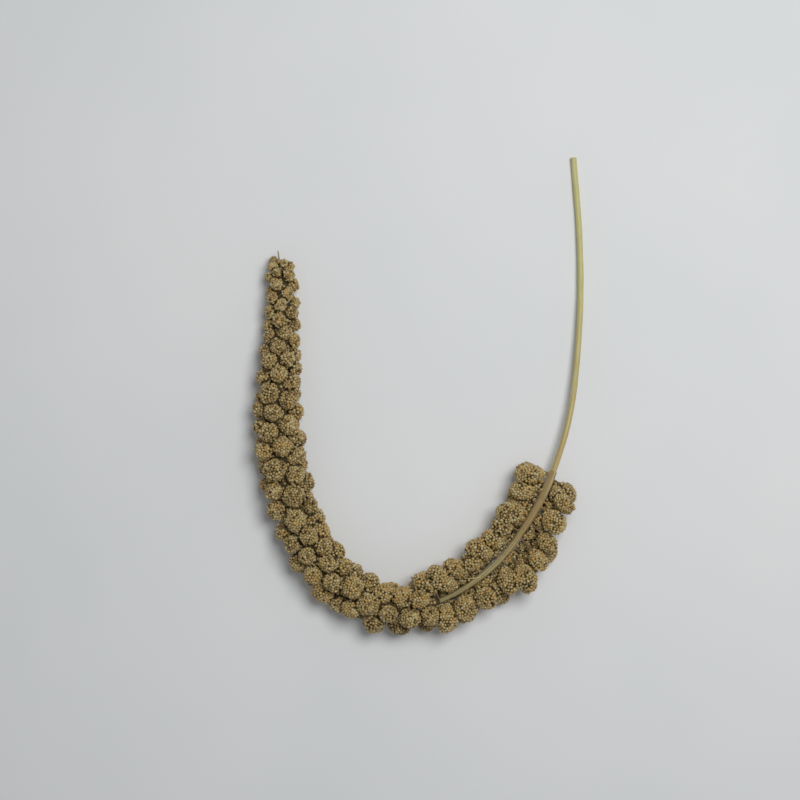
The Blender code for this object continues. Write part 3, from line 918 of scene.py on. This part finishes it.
heart = heart_shape()
hearts = grow("ball_hearts", heart_seats(), SEATS, seat_look(heart, CHAFF_WITH_PAINTED_SHADE), "seed_head")
heart_points = np.array([vertex.co / MM for vertex in hearts.data.vertices])
hiding, under = over_rachis(heart_points, HEART_CLEARANCE)
heart_points[hiding, 2] = under[hiding]
hearts.data.vertices.foreach_set("co", (heart_points * MM).astype(np.float32).ravel())
print(f"{int(hiding.sum())} corners of the hearts make room for the rachis")

# %% [markdown]
# Now the grains' seats. On a real ball the grains crowd as close as they can, here each about 2 mm from the
# next. A spiral with the golden angle spreads points evenly over a ball, and chance throws them about. Then
# they settle: too close a pair moves apart, a few rounds over, which leaves them side by side but in no
# pattern.

# %% Spreading points over a ball
GRAIN_SPACING = 2.12
SETTLE_ROUNDS = 16
SETTLE_PUSH = 0.35
AREA_POWER = 1.6075


def spiral(count, lowest=-1.0):
    """Directions spread evenly from the pole down to a lowest height, one golden angle apart."""
    steps = (np.arange(count) + 0.5) / count
    height = 1 - (1 - lowest) * steps
    turn = math.radians(GOLDEN_ANGLE) * np.arange(count)
    level = np.sqrt(1 - height**2)
    return np.column_stack([height, level * np.cos(turn), level * np.sin(turn)])


def unit(vectors):
    return vectors / np.linalg.norm(vectors, axis=1, keepdims=True)


def random_turn(chance):
    """A random rotation, as the rows of a matrix."""
    rough, _ = np.linalg.qr(chance.normal(size=(3, 3)))
    return rough * np.linalg.det(rough)


def ellipsoid_area(radii):
    """The area of an ellipsoid, by Thomsen's formula."""
    a, b, c = np.asarray(radii) ** AREA_POWER
    return 4 * math.pi * ((a * b + a * c + b * c) / 3) ** (1 / AREA_POWER)


def settled(directions, radii):
    """The directions after crowded grains on the ball have pushed each other apart."""
    for _ in range(SETTLE_ROUNDS):
        crowns = directions * radii
        apart = crowns[:, None] - crowns[None]
        gaps = np.linalg.norm(apart, axis=2)
        np.fill_diagonal(gaps, np.inf)
        squeeze = np.clip(GRAIN_SPACING - gaps, 0, None)
        crowns = crowns + (apart * (squeeze / gaps)[..., None]).sum(axis=1) * SETTLE_PUSH
        directions = unit(crowns / radii)
    return directions


print("the heights of five spread directions:", spiral(5)[:, 0].round(2).tolist())

# %% [markdown]
# The grains stand on small clusters that make the ball knobbly, and here and there a few have dropped and
# left a dark hole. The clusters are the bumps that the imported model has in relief, seven or ten to a ball,
# at the same directions. A seat is the middle of its grain, half a grain's length below the crown.

# %% The seats on one ball
GRAIN_LENGTH = 2.3
FILLED_SHARE = 0.96
SEAT_JITTER = 0.3
CLUSTERS_ON_BALL = 10
CLUSTERS_ON_SMALL_BALL = 7
SMALL_BALL_RADIUS = 5.2
INNER_EDGE = -0.2
CROWN_LEVEL = 1.04
CREASE_DEPTH = 0.12
CLUSTER_SPREAD = 0.045
CLUSTER_CURVE = 0.18
HEIGHT_JITTER = 0.014
HOLE_SHARE = 0.22
HOLE_RADIUS = 1.5
HOLE_WANDER = 0.8


def cluster_directions(ball, start):
    """The middles of a ball's clusters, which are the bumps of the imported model's relief."""
    count = CLUSTERS_ON_BALL if ball.radii[0] > SMALL_BALL_RADIUS else CLUSTERS_ON_SMALL_BALL
    heights = 1 - (1 - INNER_EDGE) * (np.arange(count - 1) + 0.5) / (count - 1)
    turns = math.radians(GOLDEN_ANGLE) * np.arange(count - 1) + start
    level = np.sqrt(1 - heights**2)
    outer = np.column_stack([heights, level * np.cos(turns), level * np.sin(turns)])
    return np.vstack([outer, [[-1, 0, 0]]])


def ball_seats(ball, start, chance):
    """Seats all over one ball: where each is, which way is outward, and how high its cluster lifts it."""
    radii = np.array(ball.radii)
    size = float(np.prod(radii) ** (1 / 3)) * CROWN_LEVEL
    count = round(FILLED_SHARE * ellipsoid_area(radii * CROWN_LEVEL) / (HEXAGON_SHARE * GRAIN_SPACING**2))
    directions = spiral(count) @ random_turn(chance)
    directions = unit(directions + chance.normal(0, SEAT_JITTER * GRAIN_SPACING / size, directions.shape))
    directions = settled(directions, radii * CROWN_LEVEL)
    nearness = directions @ cluster_directions(ball, start).T
    cluster_heights = chance.normal(0, CLUSTER_SPREAD, nearness.shape[1])
    fall = np.clip((1 - nearness.max(axis=1)) / CLUSTER_CURVE, 0, 1)
    level = CROWN_LEVEL - CREASE_DEPTH * fall + cluster_heights[nearness.argmax(axis=1)] * (1 - fall)
    level += chance.normal(0, HEIGHT_JITTER, count)
    if chance.random() < HOLE_SHARE:
        middle = unit(np.array([[1.0, chance.normal(0, HOLE_WANDER), chance.normal(0, HOLE_WANDER)]]))[0]
        inside = np.arccos(np.clip(directions @ middle, -1, 1)) * size < HOLE_RADIUS
        directions, level = directions[~inside], level[~inside]
    axes = np.array([tuple(axis) for axis in ball.axes])
    crowns = directions * radii * level[:, None]
    normals = unit(directions / radii)
    places = crowns - normals * GRAIN_LENGTH / 2
    return np.array(ball.centre) + places @ axes, normals @ axes


print(f"{CLUSTERS_ON_BALL} clusters on a large ball and {CLUSTERS_ON_SMALL_BALL} on a small one")

# %% [markdown]
# Grains grow between the balls too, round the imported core. A seat sunk in another ball is dropped, and so is
# one that no light reaches: from each seat rays go out in all directions, and where hardly any gets clear of
# the hearts and the core, nobody will ever see the grain. Of two crowns that are too close, the one with
# more light stays.

# %% Seats between the balls, and which seats stay
CORE_SEATS_FROM = 14.0
CORE_SEATS_TO = 264.0
CORE_SEAT_DEPTH = 0.2
CORE_SEAT_JITTER = 0.3
SUNK_LEVEL = 0.8
FAR_APART = 2.0
RAYS = 24
RAY_START = 1.3
NEAREST_SEATS = 0.66


def core_seats(chance):
    """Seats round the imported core, for the grains that show between the balls."""
    places, ways = [], []
    for place in np.arange(CORE_SEATS_FROM, CORE_SEATS_TO, GRAIN_SPACING * HEXAGON_SHARE):
        along, side, up = stalk.frame(place)
        radius = core_radius(place)
        for turn in np.arange(0, 2 * math.pi, GRAIN_SPACING / radius) + chance.uniform(0, 1):
            way = side * math.cos(turn) + up * math.sin(turn)
            shift = along * chance.normal(0, CORE_SEAT_JITTER)
            places.append(stalk.point(place) + way * (radius - CORE_SEAT_DEPTH) + shift)
            ways.append(way)
    return np.array(places), np.array(ways)


def sunk(places, owner=None):
    """Whether each seat lies inside some other ball than its own."""
    found = np.zeros(len(places), bool)
    for other in balls:
        if other is owner:
            continue
        if owner and (other.centre - owner.centre).length > max(other.radii) + max(owner.radii) + FAR_APART:
            continue
        inside = (places - np.array(other.centre)) @ np.array([tuple(axis) for axis in other.axes]).T
        found |= np.linalg.norm(inside / np.array(other.radii), axis=1) < SUNK_LEVEL
    return found


def rays_free(places, outward):
    """How many of the rays from each seat get clear of the hearts and the core."""
    corners, faces = [], []
    for piece in (hearts, core):
        first = len(corners)
        corners += [vertex.co / MM for vertex in piece.data.vertices]
        faces += [[first + corner for corner in face.vertices] for face in piece.data.polygons]
    obstacle = BVHTree.FromPolygons(corners, faces)
    directions = [Vector(direction) for direction in spiral(RAYS)]
    counts = []
    for place, way in zip(places, outward):
        start = Vector(place + way * RAY_START)
        counts.append(sum(obstacle.ray_cast(start, direction)[0] is None for direction in directions))
    return np.array(counts)


def well_spaced(places, ranks):
    """Whether each grain is kept, when of two crowns that are too close the one with more light stays."""
    tree = KDTree(len(places))
    for number, place in enumerate(places):
        tree.insert(place, number)
    tree.balance()
    kept = np.ones(len(places), bool)
    for number in np.argsort(-ranks, kind="stable"):
        if kept[number]:
            for _, other, gap in tree.find_range(places[number], GRAIN_SPACING * NEAREST_SEATS):
                if other != number:
                    kept[other] = False
    return kept


print(f"{RAYS} rays go out from each seat")

# %% All the seats
LEAST_OPEN = 3
GRAIN_CLEARANCE = 0.75


def grain_seats():
    """Every seat of the head that can be seen: its place, its outward way, its ball and its light."""
    chance = np.random.default_rng(SEED)
    starts = random.Random(SEED + 1)
    places, outward, owners = [], [], []
    for number, ball in enumerate(balls):
        on_ball, ways = ball_seats(ball, starts.uniform(0, 2 * math.pi), chance)
        clear = ~sunk(on_ball, ball)
        places.append(on_ball[clear])
        outward.append(ways[clear])
        owners += [number] * int(clear.sum())
    on_core, ways = core_seats(chance)
    clear = ~sunk(on_core + ways * GRAIN_LENGTH / 2)
    places.append(on_core[clear])
    outward.append(ways[clear])
    centres = np.array([tuple(ball.centre) for ball in balls])
    owners += [int(np.argmin(np.linalg.norm(centres - place, axis=1))) for place in on_core[clear]]
    places, outward, owners = np.vstack(places), np.vstack(outward), np.array(owners)
    light = rays_free(places, outward)
    hiding, _ = over_rachis(places + outward * GRAIN_LENGTH / 4, GRAIN_CLEARANCE)
    seen = (light >= LEAST_OPEN) & ~hiding
    places, outward, owners, light = places[seen], outward[seen], owners[seen], light[seen]
    crowns = places + outward * GRAIN_LENGTH / 2
    kept = well_spaced(crowns, light + chance.random(len(light)))
    return places[kept], outward[kept], owners[kept], light[kept]


places, outward, owners, light = grain_seats()
print(f"{len(places)} grains, about {len(places) / len(balls):.0f} to a ball")

# %% [markdown]
# A grain in its husk is a bead, 2.3 mm long and a little narrower, blunt where it sits and slightly pointed
# at the crown. With thousands of copies each must have few faces, so it is three rings of ten points, closed
# at both ends and shaded smooth. A second, slimmer shape with a sharper point mixes in. Each corner keeps
# how far up the grain it is and where on the shape it lies, which the material reads.

# %% The shapes of a grain
PLUMP = [(-0.52, 0.78), (0.22, 0.99), (0.77, 0.62)]
SLIM = [(-0.52, 0.68), (0.2, 0.89), (0.76, 0.53)]
PLUMP_TIP = 0.98
SLIM_TIP = 1.05
GRAIN_SIDES = 10


def bead(name, rings, tip, sides):
    """A bead of unit half-length whose rings are given by height and radius, flat below, pointed above."""
    corners, faces, levels = [], [], []
    for number, (height, radius) in enumerate(rings):
        for k in range(sides):
            turn = 2 * math.pi * (k + 0.5 * number) / sides
            corners.append((radius * math.cos(turn), radius * math.sin(turn), height))
            levels.append((height + 1) / 2)
    for lower in range(len(rings) - 1):
        for k in range(sides):
            a, b = lower * sides + k, lower * sides + (k + 1) % sides
            c, d = a + sides, b + sides
            faces += [(a, b, c), (b, d, c)]
    top = len(corners)
    corners.append((0, 0, tip))
    levels.append(1.0)
    last = top - sides
    faces += [(last + k, last + (k + 1) % sides, top) for k in range(sides)]
    faces.append(tuple(reversed(range(sides))))
    mesh = bpy.data.meshes.new(name)
    mesh.from_pydata(corners, [], faces)
    mesh.attributes.new("level", "FLOAT", "POINT").data.foreach_set("value", levels)
    on_shape = np.array(corners, np.float32).ravel()
    mesh.attributes.new("on_shape", "FLOAT_VECTOR", "POINT").data.foreach_set("vector", on_shape)
    return shape_object(name, mesh)


plump = bead("plump_grain", PLUMP, PLUMP_TIP, GRAIN_SIDES)
slim = bead("slim_grain", SLIM, SLIM_TIP, GRAIN_SIDES)
print(f"a grain has {sum(len(face.vertices) - 2 for face in plump.data.polygons)} triangles")

# %% [markdown]
# The husk of foxtail millet is a hard, smooth shell, golden when it is ripe. Each grain has its own tint, from
# pale straw through gold to a dull brown, and towards its base, down among the other grains, it is painted
# darker as painted shade for the creases between them. The shell has a soft shine that gives each grain one
# small highlight. It is made of two scales that close over the grain, so a fine darker seam runs over the
# crown, and faint nerves run up to it. Both are drawn from the place on the shape, so they turn with the
# grain.
# The tint comes from the seat, as a number from 0 to 1, and a ramp turns it into a colour, so the whole
# range of the head can be tuned in one line. The nerves are drawn far apart enough to show.

# %% Husk
HUSK_MOTTLE = 0.6
NERVE_STRETCH = (5.0, 5.0, 0.8)
NERVE_SHIFT = 60.0
SEAM_HALF_WIDTH = (0.03, 0.12)


def husk():
    """Hard golden husk: a tint for each grain, nerves, a seam, painted shade towards its base, softly shiny.
    """
    made, tree, shader = new_material("golden_husk")
    tint = add(tree, "ShaderNodeAttribute", attribute_name="tint")
    level = add(tree, "ShaderNodeAttribute", attribute_name="level")
    on_shape = add(tree, "ShaderNodeAttribute", attribute_name="on_shape")
    place = add(tree, "ShaderNodeTexCoord")
    # The grain's own colour, and a mottle over the whole head.
    body = add(tree, "ShaderNodeValToRGB", {0: tint.outputs["Fac"]}, stops=[
        (0.0, "#7F6A40"), (1.0, "#BD9150"), (0.2, "#A38A56"), (0.42, "#C1A66C"), (0.58, "#CDB478"),
        (0.68, "#DBCB98"), (0.76, "#D2B069"), (0.88, "#CBA257"),
    ])
    mottle = add(tree, "ShaderNodeTexNoise",
                 {"Vector": place.outputs["Object"], "Scale": 1 / (HUSK_MOTTLE * MM), "Detail": 2.0})
    shade = add(tree, "ShaderNodeMapRange",
                {VALUE: mottle, FROM_LOW: 0.35, FROM_HIGH: 0.65, TO_LOW: 0.82, TO_HIGH: 1.08})
    mottled = add(tree, "ShaderNodeMix", {MIX_SHARE: 1.0, MIX_A: body, MIX_B: shade},
                  data_type="RGBA", blend_type="MULTIPLY")
    # Nerves: a noise drawn out along the grain, and shifted by the tint so that no two grains match.
    drawn_out = add(tree, "ShaderNodeVectorMath", {0: on_shape.outputs["Vector"], 1: NERVE_STRETCH},
                    operation="MULTIPLY")
    own = add(tree, "ShaderNodeMath", {0: tint.outputs["Fac"], 1: NERVE_SHIFT}, operation="MULTIPLY")
    own_shift = add(tree, "ShaderNodeCombineXYZ", {"Z": own})
    nerve_place = add(tree, "ShaderNodeVectorMath", {0: drawn_out, 1: own_shift}, operation="ADD")
    nerves = add(tree, "ShaderNodeTexNoise", {"Vector": nerve_place, "Scale": 1.0, "Detail": 2.0})
    nerve_shade = add(tree, "ShaderNodeMapRange",
                      {VALUE: nerves, FROM_LOW: 0.35, FROM_HIGH: 0.65, TO_LOW: 0.86, TO_HIGH: 1.08})
    nerved = add(tree, "ShaderNodeMix", {MIX_SHARE: 1.0, MIX_A: mottled.outputs[MIXED], MIX_B: nerve_shade},
                 data_type="RGBA", blend_type="MULTIPLY")
    # The seam, where the two scales meet: a thin line over the crown.
    parts = add(tree, "ShaderNodeSeparateXYZ", {"Vector": on_shape.outputs["Vector"]})
    from_seam = add(tree, "ShaderNodeMath", {0: parts.outputs["X"]}, operation="ABSOLUTE")
    seam = add(tree, "ShaderNodeMapRange",
               {VALUE: from_seam, FROM_LOW: SEAM_HALF_WIDTH[0], FROM_HIGH: SEAM_HALF_WIDTH[1],
                TO_LOW: 0.5, TO_HIGH: 0.0})
    seamed = add(tree, "ShaderNodeMix",
                 {MIX_SHARE: seam, MIX_A: nerved.outputs[MIXED], MIX_B: linear("#6B5430")},
                 data_type="RGBA")
    # Painted shade: darker towards the base of the grain, where it sits down in the crease between grains.
    painted_base_shade = add(tree, "ShaderNodeMapRange",
               {VALUE: level.outputs["Fac"], FROM_LOW: 0.45, FROM_HIGH: 0.86, TO_LOW: 0.88, TO_HIGH: 0.0})
    colour = add(tree, "ShaderNodeMix",
                 {MIX_SHARE: painted_base_shade, MIX_A: seamed.outputs[MIXED], MIX_B: linear("#4E4028")},
                 data_type="RGBA")
    tree.links.new(colour.outputs[MIXED], shader.inputs["Base Color"])
    bump = add(tree, "ShaderNodeBump", {"Height": nerves, "Strength": 0.4, "Distance": 0.12 * MM})
    tree.links.new(bump.outputs[0], shader.inputs["Normal"])
    shader.inputs["Roughness"].default_value = 0.38
    shader.inputs["IOR"].default_value = WAXY_IOR
    return made


HUSK = husk()
print("finish:", HUSK.name)

# %% [markdown]
# The grains are grown in five pieces, each a stretch of the head, because a piece with too many triangles
# would be thinned when it is exported. Each grain points outward from its ball and leans a little towards
# the end of its branch. The tints differ a little from ball to ball and grow richer towards the neck. The
# most golden grains are the ripest, so they are the largest.

# %% The grains
GRAIN_WIDTH = 2.12
LEAN_TO_BRANCH = 0.35
TINT_ALONG = [(0, 0.45), (250, 0.45), (330, 0.54), (400, 0.58)]
TINT_SPREAD = 0.2
GOLDEN_TINT = 0.7
GOLDEN_GROWTH = 1.12
BALL_TINT_SPREAD = 0.07
GRAIN_PIECES = 5
GRAIN_TILT = 16.0
GRAIN_SIZE_SPREAD = 0.13
SLIM_SHARE = 0.3
SEAT_FLOOR = 0.05


def grain_ways():
    """Which way each grain points: outward from its ball, and a little towards the end of its branch."""
    branch = np.array([tuple(ball.axes[0]) for ball in balls])[owners]
    return unit(outward + branch * LEAN_TO_BRANCH)


def lifted(points, ways, length, width):
    """The points, raised where a shape of this size would poke through the floor."""
    drop = np.sqrt((length / 2 * ways[:, 2]) ** 2 + (width / 2) ** 2 * (1 - ways[:, 2] ** 2))
    raised = points.copy()
    raised[:, 2] = np.maximum(raised[:, 2], drop * (1 + GRAIN_SIZE_SPREAD) + SEAT_FLOOR)
    return raised


def grow_grains():
    """The grains in a few pieces, each a stretch of the head, so that none is too heavy."""
    chance = np.random.default_rng(SEED + 2)
    ways = grain_ways()
    seats = lifted(places, ways, GRAIN_LENGTH, GRAIN_WIDTH)
    ball_tints = chance.normal(0, BALL_TINT_SPREAD, len(balls))
    ball_tints += [size_at(TINT_ALONG, ball.place) for ball in balls]
    tints = np.clip(chance.normal(0, TINT_SPREAD, len(seats)) + ball_tints[owners], 0, 1)
    sideways = chance.normal(size=seats.shape)
    size = np.array([GRAIN_WIDTH / 2, GRAIN_WIDTH / 2, GRAIN_LENGTH / 2]) * MM
    growth = np.where(tints > GOLDEN_TINT, GOLDEN_GROWTH, 1.0)
    sizes = size * growth[:, None]
    order = np.argsort(np.array([ball.place for ball in balls])[owners], kind="stable")
    for number, part in enumerate(np.array_split(order, GRAIN_PIECES), start=1):
        name = f"grains_{number}"
        mesh = points_mesh(name, seats[part], outward=ways[part], sideways=sideways[part],
                           size=sizes[part], tint=tints[part])
        look = seat_look(plump, HUSK, GRAIN_TILT, GRAIN_SIZE_SPREAD, SEED + number, slim, SLIM_SHARE)
        grow(name, mesh, SEATS, look, "seed_head")


grow_grains()

# %% [markdown]
# Glumes, bristles, hairs and pith are all thin dry tissue: pale, matt, and a little light shines through.
# One function makes the four finishes, each with its own two colours and the size of its mottle.

# %% Papery tissue
def papery(name, dark, pale, mottle_size):
    """Thin dry tissue: pale, matt, a little uneven, and lit through by some of the light."""
    made, tree, shader = new_material(name)
    place = add(tree, "ShaderNodeTexCoord")
    uneven = add(tree, "ShaderNodeTexNoise",
                 {"Vector": place.outputs["Object"], "Scale": 1 / (mottle_size * MM), "Detail": 2.0})
    colour = add(tree, "ShaderNodeValToRGB", {0: uneven}, stops=[(0.3, dark), (0.7, pale)])
    tree.links.new(colour.outputs[0], shader.inputs["Base Color"])
    shader.inputs["Roughness"].default_value = 0.6
    shader.inputs["Subsurface Weight"].default_value = 0.15
    shader.inputs["Subsurface Scale"].default_value = 0.3 * MM
    return made


GLUME = papery("papery_glume", "#B7A173", "#E2D8B4", 0.8)
BRISTLE = papery("dry_bristle", "#8F7B4C", "#C9B67F", 2.0)
DOWN = papery("whitish_down", "#CFC9B6", "#EFEBDD", 3.0)
PITH = papery("dry_pith", "#C9BE98", "#E9E2C8", 0.25)
print("finishes:", GLUME.name, BRISTLE.name, DOWN.name, PITH.name)

# %% [markdown]
# Each grain was held by glumes, small papery scales that dry to a pale straw and stay on the head when a
# grain has dropped. They stand in the creases between the grains and catch the light along their rims. A
# glume here is a thin closed scale of twelve faces. Bristles stand there too, stiff short hairs that grow
# below the grains, so both are set by the same rule: beside a grain chosen by chance, half a grain's width
# to one side of it.

# %% Glumes and bristles
GLUMES = 2600
GLUME_HALF = (0.56, 0.6, 0.85)
GLUME_RISE = 0.72
GLUME_TILT = 28.0
BRISTLES = 1500
BRISTLE_HALF = (0.055, 0.055, 1.7)
BRISTLE_RISE = 1.2
BRISTLE_TILT = 30.0
BETWEEN_SIZE_SPREAD = 0.25
LEAST_LIGHT = 4
LOWEST_TIP = 0.35


def scale_shape():
    """A thin closed scale that stands on its end: a pointed rim, and a point on each of its two sides."""
    half_rim = [(0.8, 0.1, -0.3), (0.75, 0.1, 0.4)]
    rim = [(0, 0, -1), *half_rim, (0, 0.3, 1), *[(-x, y, z) for x, y, z in reversed(half_rim)]]
    corners = [*rim, (0, 0.34, 0), (0, 0.14, 0)]
    count = len(rim)
    faces = []
    for k in range(count):
        faces.append((k, count, (k + 1) % count))
        faces.append((k, (k + 1) % count, count + 1))
    mesh = bpy.data.meshes.new("scale_shape")
    mesh.from_pydata(corners, [], faces)
    return shape_object("scale_shape", mesh)


def beside_grains(count, rise, half_length, chance):
    """Seats in the creases beside grains chosen by chance, none so low that it would touch the floor."""
    lit = np.flatnonzero(light >= LEAST_LIGHT)
    chosen = chance.choice(lit, count, replace=False)
    aside = unit(np.cross(outward[chosen], chance.normal(size=(count, 3))))
    seats = places[chosen] + aside * GRAIN_SPACING / 2 + outward[chosen] * rise
    low = seats[:, 2] - np.abs(outward[chosen][:, 2]) * half_length < LOWEST_TIP
    return seats[~low], outward[chosen][~low]


def grow_between_grains(name, shape, material, half_size, count, rise, tilt):
    """Small shapes of one kind between the grains, over the whole head."""
    chance = np.random.default_rng(SEED + len(name))
    seats, ways = beside_grains(count, rise, half_size[2], chance)
    sideways = chance.normal(size=seats.shape)
    sizes = np.tile(np.array(half_size) * MM, (len(seats), 1))
    mesh = points_mesh(name, seats, outward=ways, sideways=sideways, size=sizes)
    grow(name, mesh, SEATS, seat_look(shape, material, tilt, BETWEEN_SIZE_SPREAD, SEED), "seed_head")


spike = bead("spike", [(-1.0, 1.0), (0.0, 0.75)], 1.0, 3)
grow_between_grains("glumes", scale_shape(), GLUME, GLUME_HALF, GLUMES, GLUME_RISE, GLUME_TILT)
grow_between_grains("bristles", spike, BRISTLE, BRISTLE_HALF, BRISTLES, BRISTLE_RISE, BRISTLE_TILT)

# %% [markdown]
# The rachis of foxtail millet is downy. Most of the down has rubbed off this dry one, and what is left
# stands in tufts of whitish hairs beside it, where a branch or a broken stub kept it from being rubbed. The
# side branches keep a little of theirs too.

# %% Hairs on the rachis and the branches
TUFTS = ((64.0, 175.0, 7.0, 260), (58.0, 130.0, 5.0, 120), (47.0, 15.0, 3.0, 90), (24.0, 180.0, 12.0, 110))
TUFT_SPREAD = 38.0
TUFT_LEAN = (0.3, 0.4)
TUFT_RISE = 0.9
HAIR_RADIUS = 0.035
HAIR_HALF_LENGTH = 0.95
HAIR_TILT = 25.0
HAIR_SIZE_SPREAD = 0.4
BRANCH_HAIRS = 9
BRANCH_HAIR_RISE = 0.8


def tuft_hairs(chance):
    """Hairs round the middles of the tufts: each place on the rachis's skin, and the way it points."""
    seats, ways = [], []
    for from_neck, turn, spread, count in TUFTS:
        for _ in range(count):
            place = stalk.neck - abs(chance.normal(from_neck, spread))
            along, _, _ = stalk.frame(place)
            off = stalk.way_off(place, chance.normal(turn, TUFT_SPREAD))
            way = (off - along * chance.normal(*TUFT_LEAN)).normalized()
            reach = size_at(RACHIS_RADIUS, place) + HAIR_HALF_LENGTH * TUFT_RISE
            seats.append(stalk.point(place) + way * reach)
            ways.append(way)
    return seats, ways


def branch_hairs(chance):
    """A few hairs along each side branch that shows."""
    seats, ways = [], []
    for line in branch_lines:
        points = [point for point, _, _ in line[1:4]]
        for _ in range(BRANCH_HAIRS):
            way = Vector(chance.normal(size=3)).normalized()
            root = points[chance.integers(len(points))].lerp(points[0], chance.random())
            seats.append(root + way * (BRANCH_RADII[0] + HAIR_HALF_LENGTH * BRANCH_HAIR_RISE))
            ways.append(way)
    return seats, ways


def grow_hairs():
    """All the hairs as one piece, without those that would reach the floor."""
    chance = np.random.default_rng(SEED + 3)
    on_rachis, rachis_ways = tuft_hairs(chance)
    on_branches, branch_ways = branch_hairs(chance)
    seats = np.array([tuple(seat) for seat in on_rachis + on_branches])
    ways = np.array([tuple(way) for way in rachis_ways + branch_ways])
    high = seats[:, 2] > LOWEST_TIP + HAIR_HALF_LENGTH
    seats, ways = seats[high], ways[high]
    half_size = np.array([HAIR_RADIUS, HAIR_RADIUS, HAIR_HALF_LENGTH]) * MM
    mesh = points_mesh("hairs", seats, outward=ways, sideways=chance.normal(size=seats.shape),
                       size=np.tile(half_size, (len(seats), 1)))
    grow("hairs", mesh, SEATS, seat_look(spike, DOWN, HAIR_TILT, HAIR_SIZE_SPREAD, SEED), "seed_head")


grow_hairs()

# %% [markdown]
# The cut end of the stem shows how a stalk is made: a tough rim of straw round a pale soft pith that dried
# and drew back a little. The end of the tube is pushed in to leave the rim, and a plug of pith fills it.

# %% The cut end
RIM = 0.32
PITH_DEPTH = 0.35
PITH_LENGTH = 2.0
PITH_STEP = 0.4


def hollow_end(piece, depth):
    """Push the cut end of a tube in behind a rim."""
    shape = bmesh.new()
    shape.from_mesh(piece.data)
    caps = [face for face in shape.faces if len(face.verts) > 4]
    end = max(caps, key=lambda face: face.calc_center_median().y)
    normal = end.normal.copy()
    bmesh.ops.inset_region(shape, faces=[end], thickness=RIM * MM)
    bmesh.ops.translate(shape, verts=end.verts, vec=-normal * depth)
    shape.to_mesh(piece.data)
    shape.free()


def pith_radius(_):
    return STEM_RADIUS_AT_CUT - RIM


hollow_end(stem, 2 * PITH_DEPTH * MM)
pith_line = stalk_line(stalk.length - PITH_LENGTH, stalk.length - PITH_DEPTH, PITH_STEP, pith_radius)
grow("stem_pith", lines_mesh("stem_pith", [pith_line]), STALKS,
     tube_look(sides=24, ridge_depth=0.2, ridges=3.0, material=PITH), "stem")

# %% [markdown]
# Under the neck, where a leaf or a branch once joined, there is a small dark scar. It is the hearts' round
# shape again, pressed flat against the rachis.

# %% The scar
SCAR_FROM_NECK = 3.4
SCAR_TURN = 30.0
SCAR_HALF = (1.2, 0.42, 0.12)

scar_place = stalk.neck - SCAR_FROM_NECK
scar_along, _, _ = stalk.frame(scar_place)
scar_way = stalk.way_off(scar_place, SCAR_TURN)
scar_point = stalk.point(scar_place) + scar_way * rachis_radius(scar_place)
scar_mesh = points_mesh("scar", [tuple(scar_point)], outward=[tuple(scar_way)],
                        sideways=[tuple(scar_along)], size=[[half * MM for half in SCAR_HALF]])
grow("scar", scar_mesh, SEATS, seat_look(heart, CHAFF_WITH_PAINTED_SHADE), "seed_head")

# %% [markdown]
# The number of triangles in all the grown pieces is written down before the end.

# %% The triangles, and the end
print(f"{sum(grown_triangles.values())} triangles in {len(grown_triangles)} pieces")
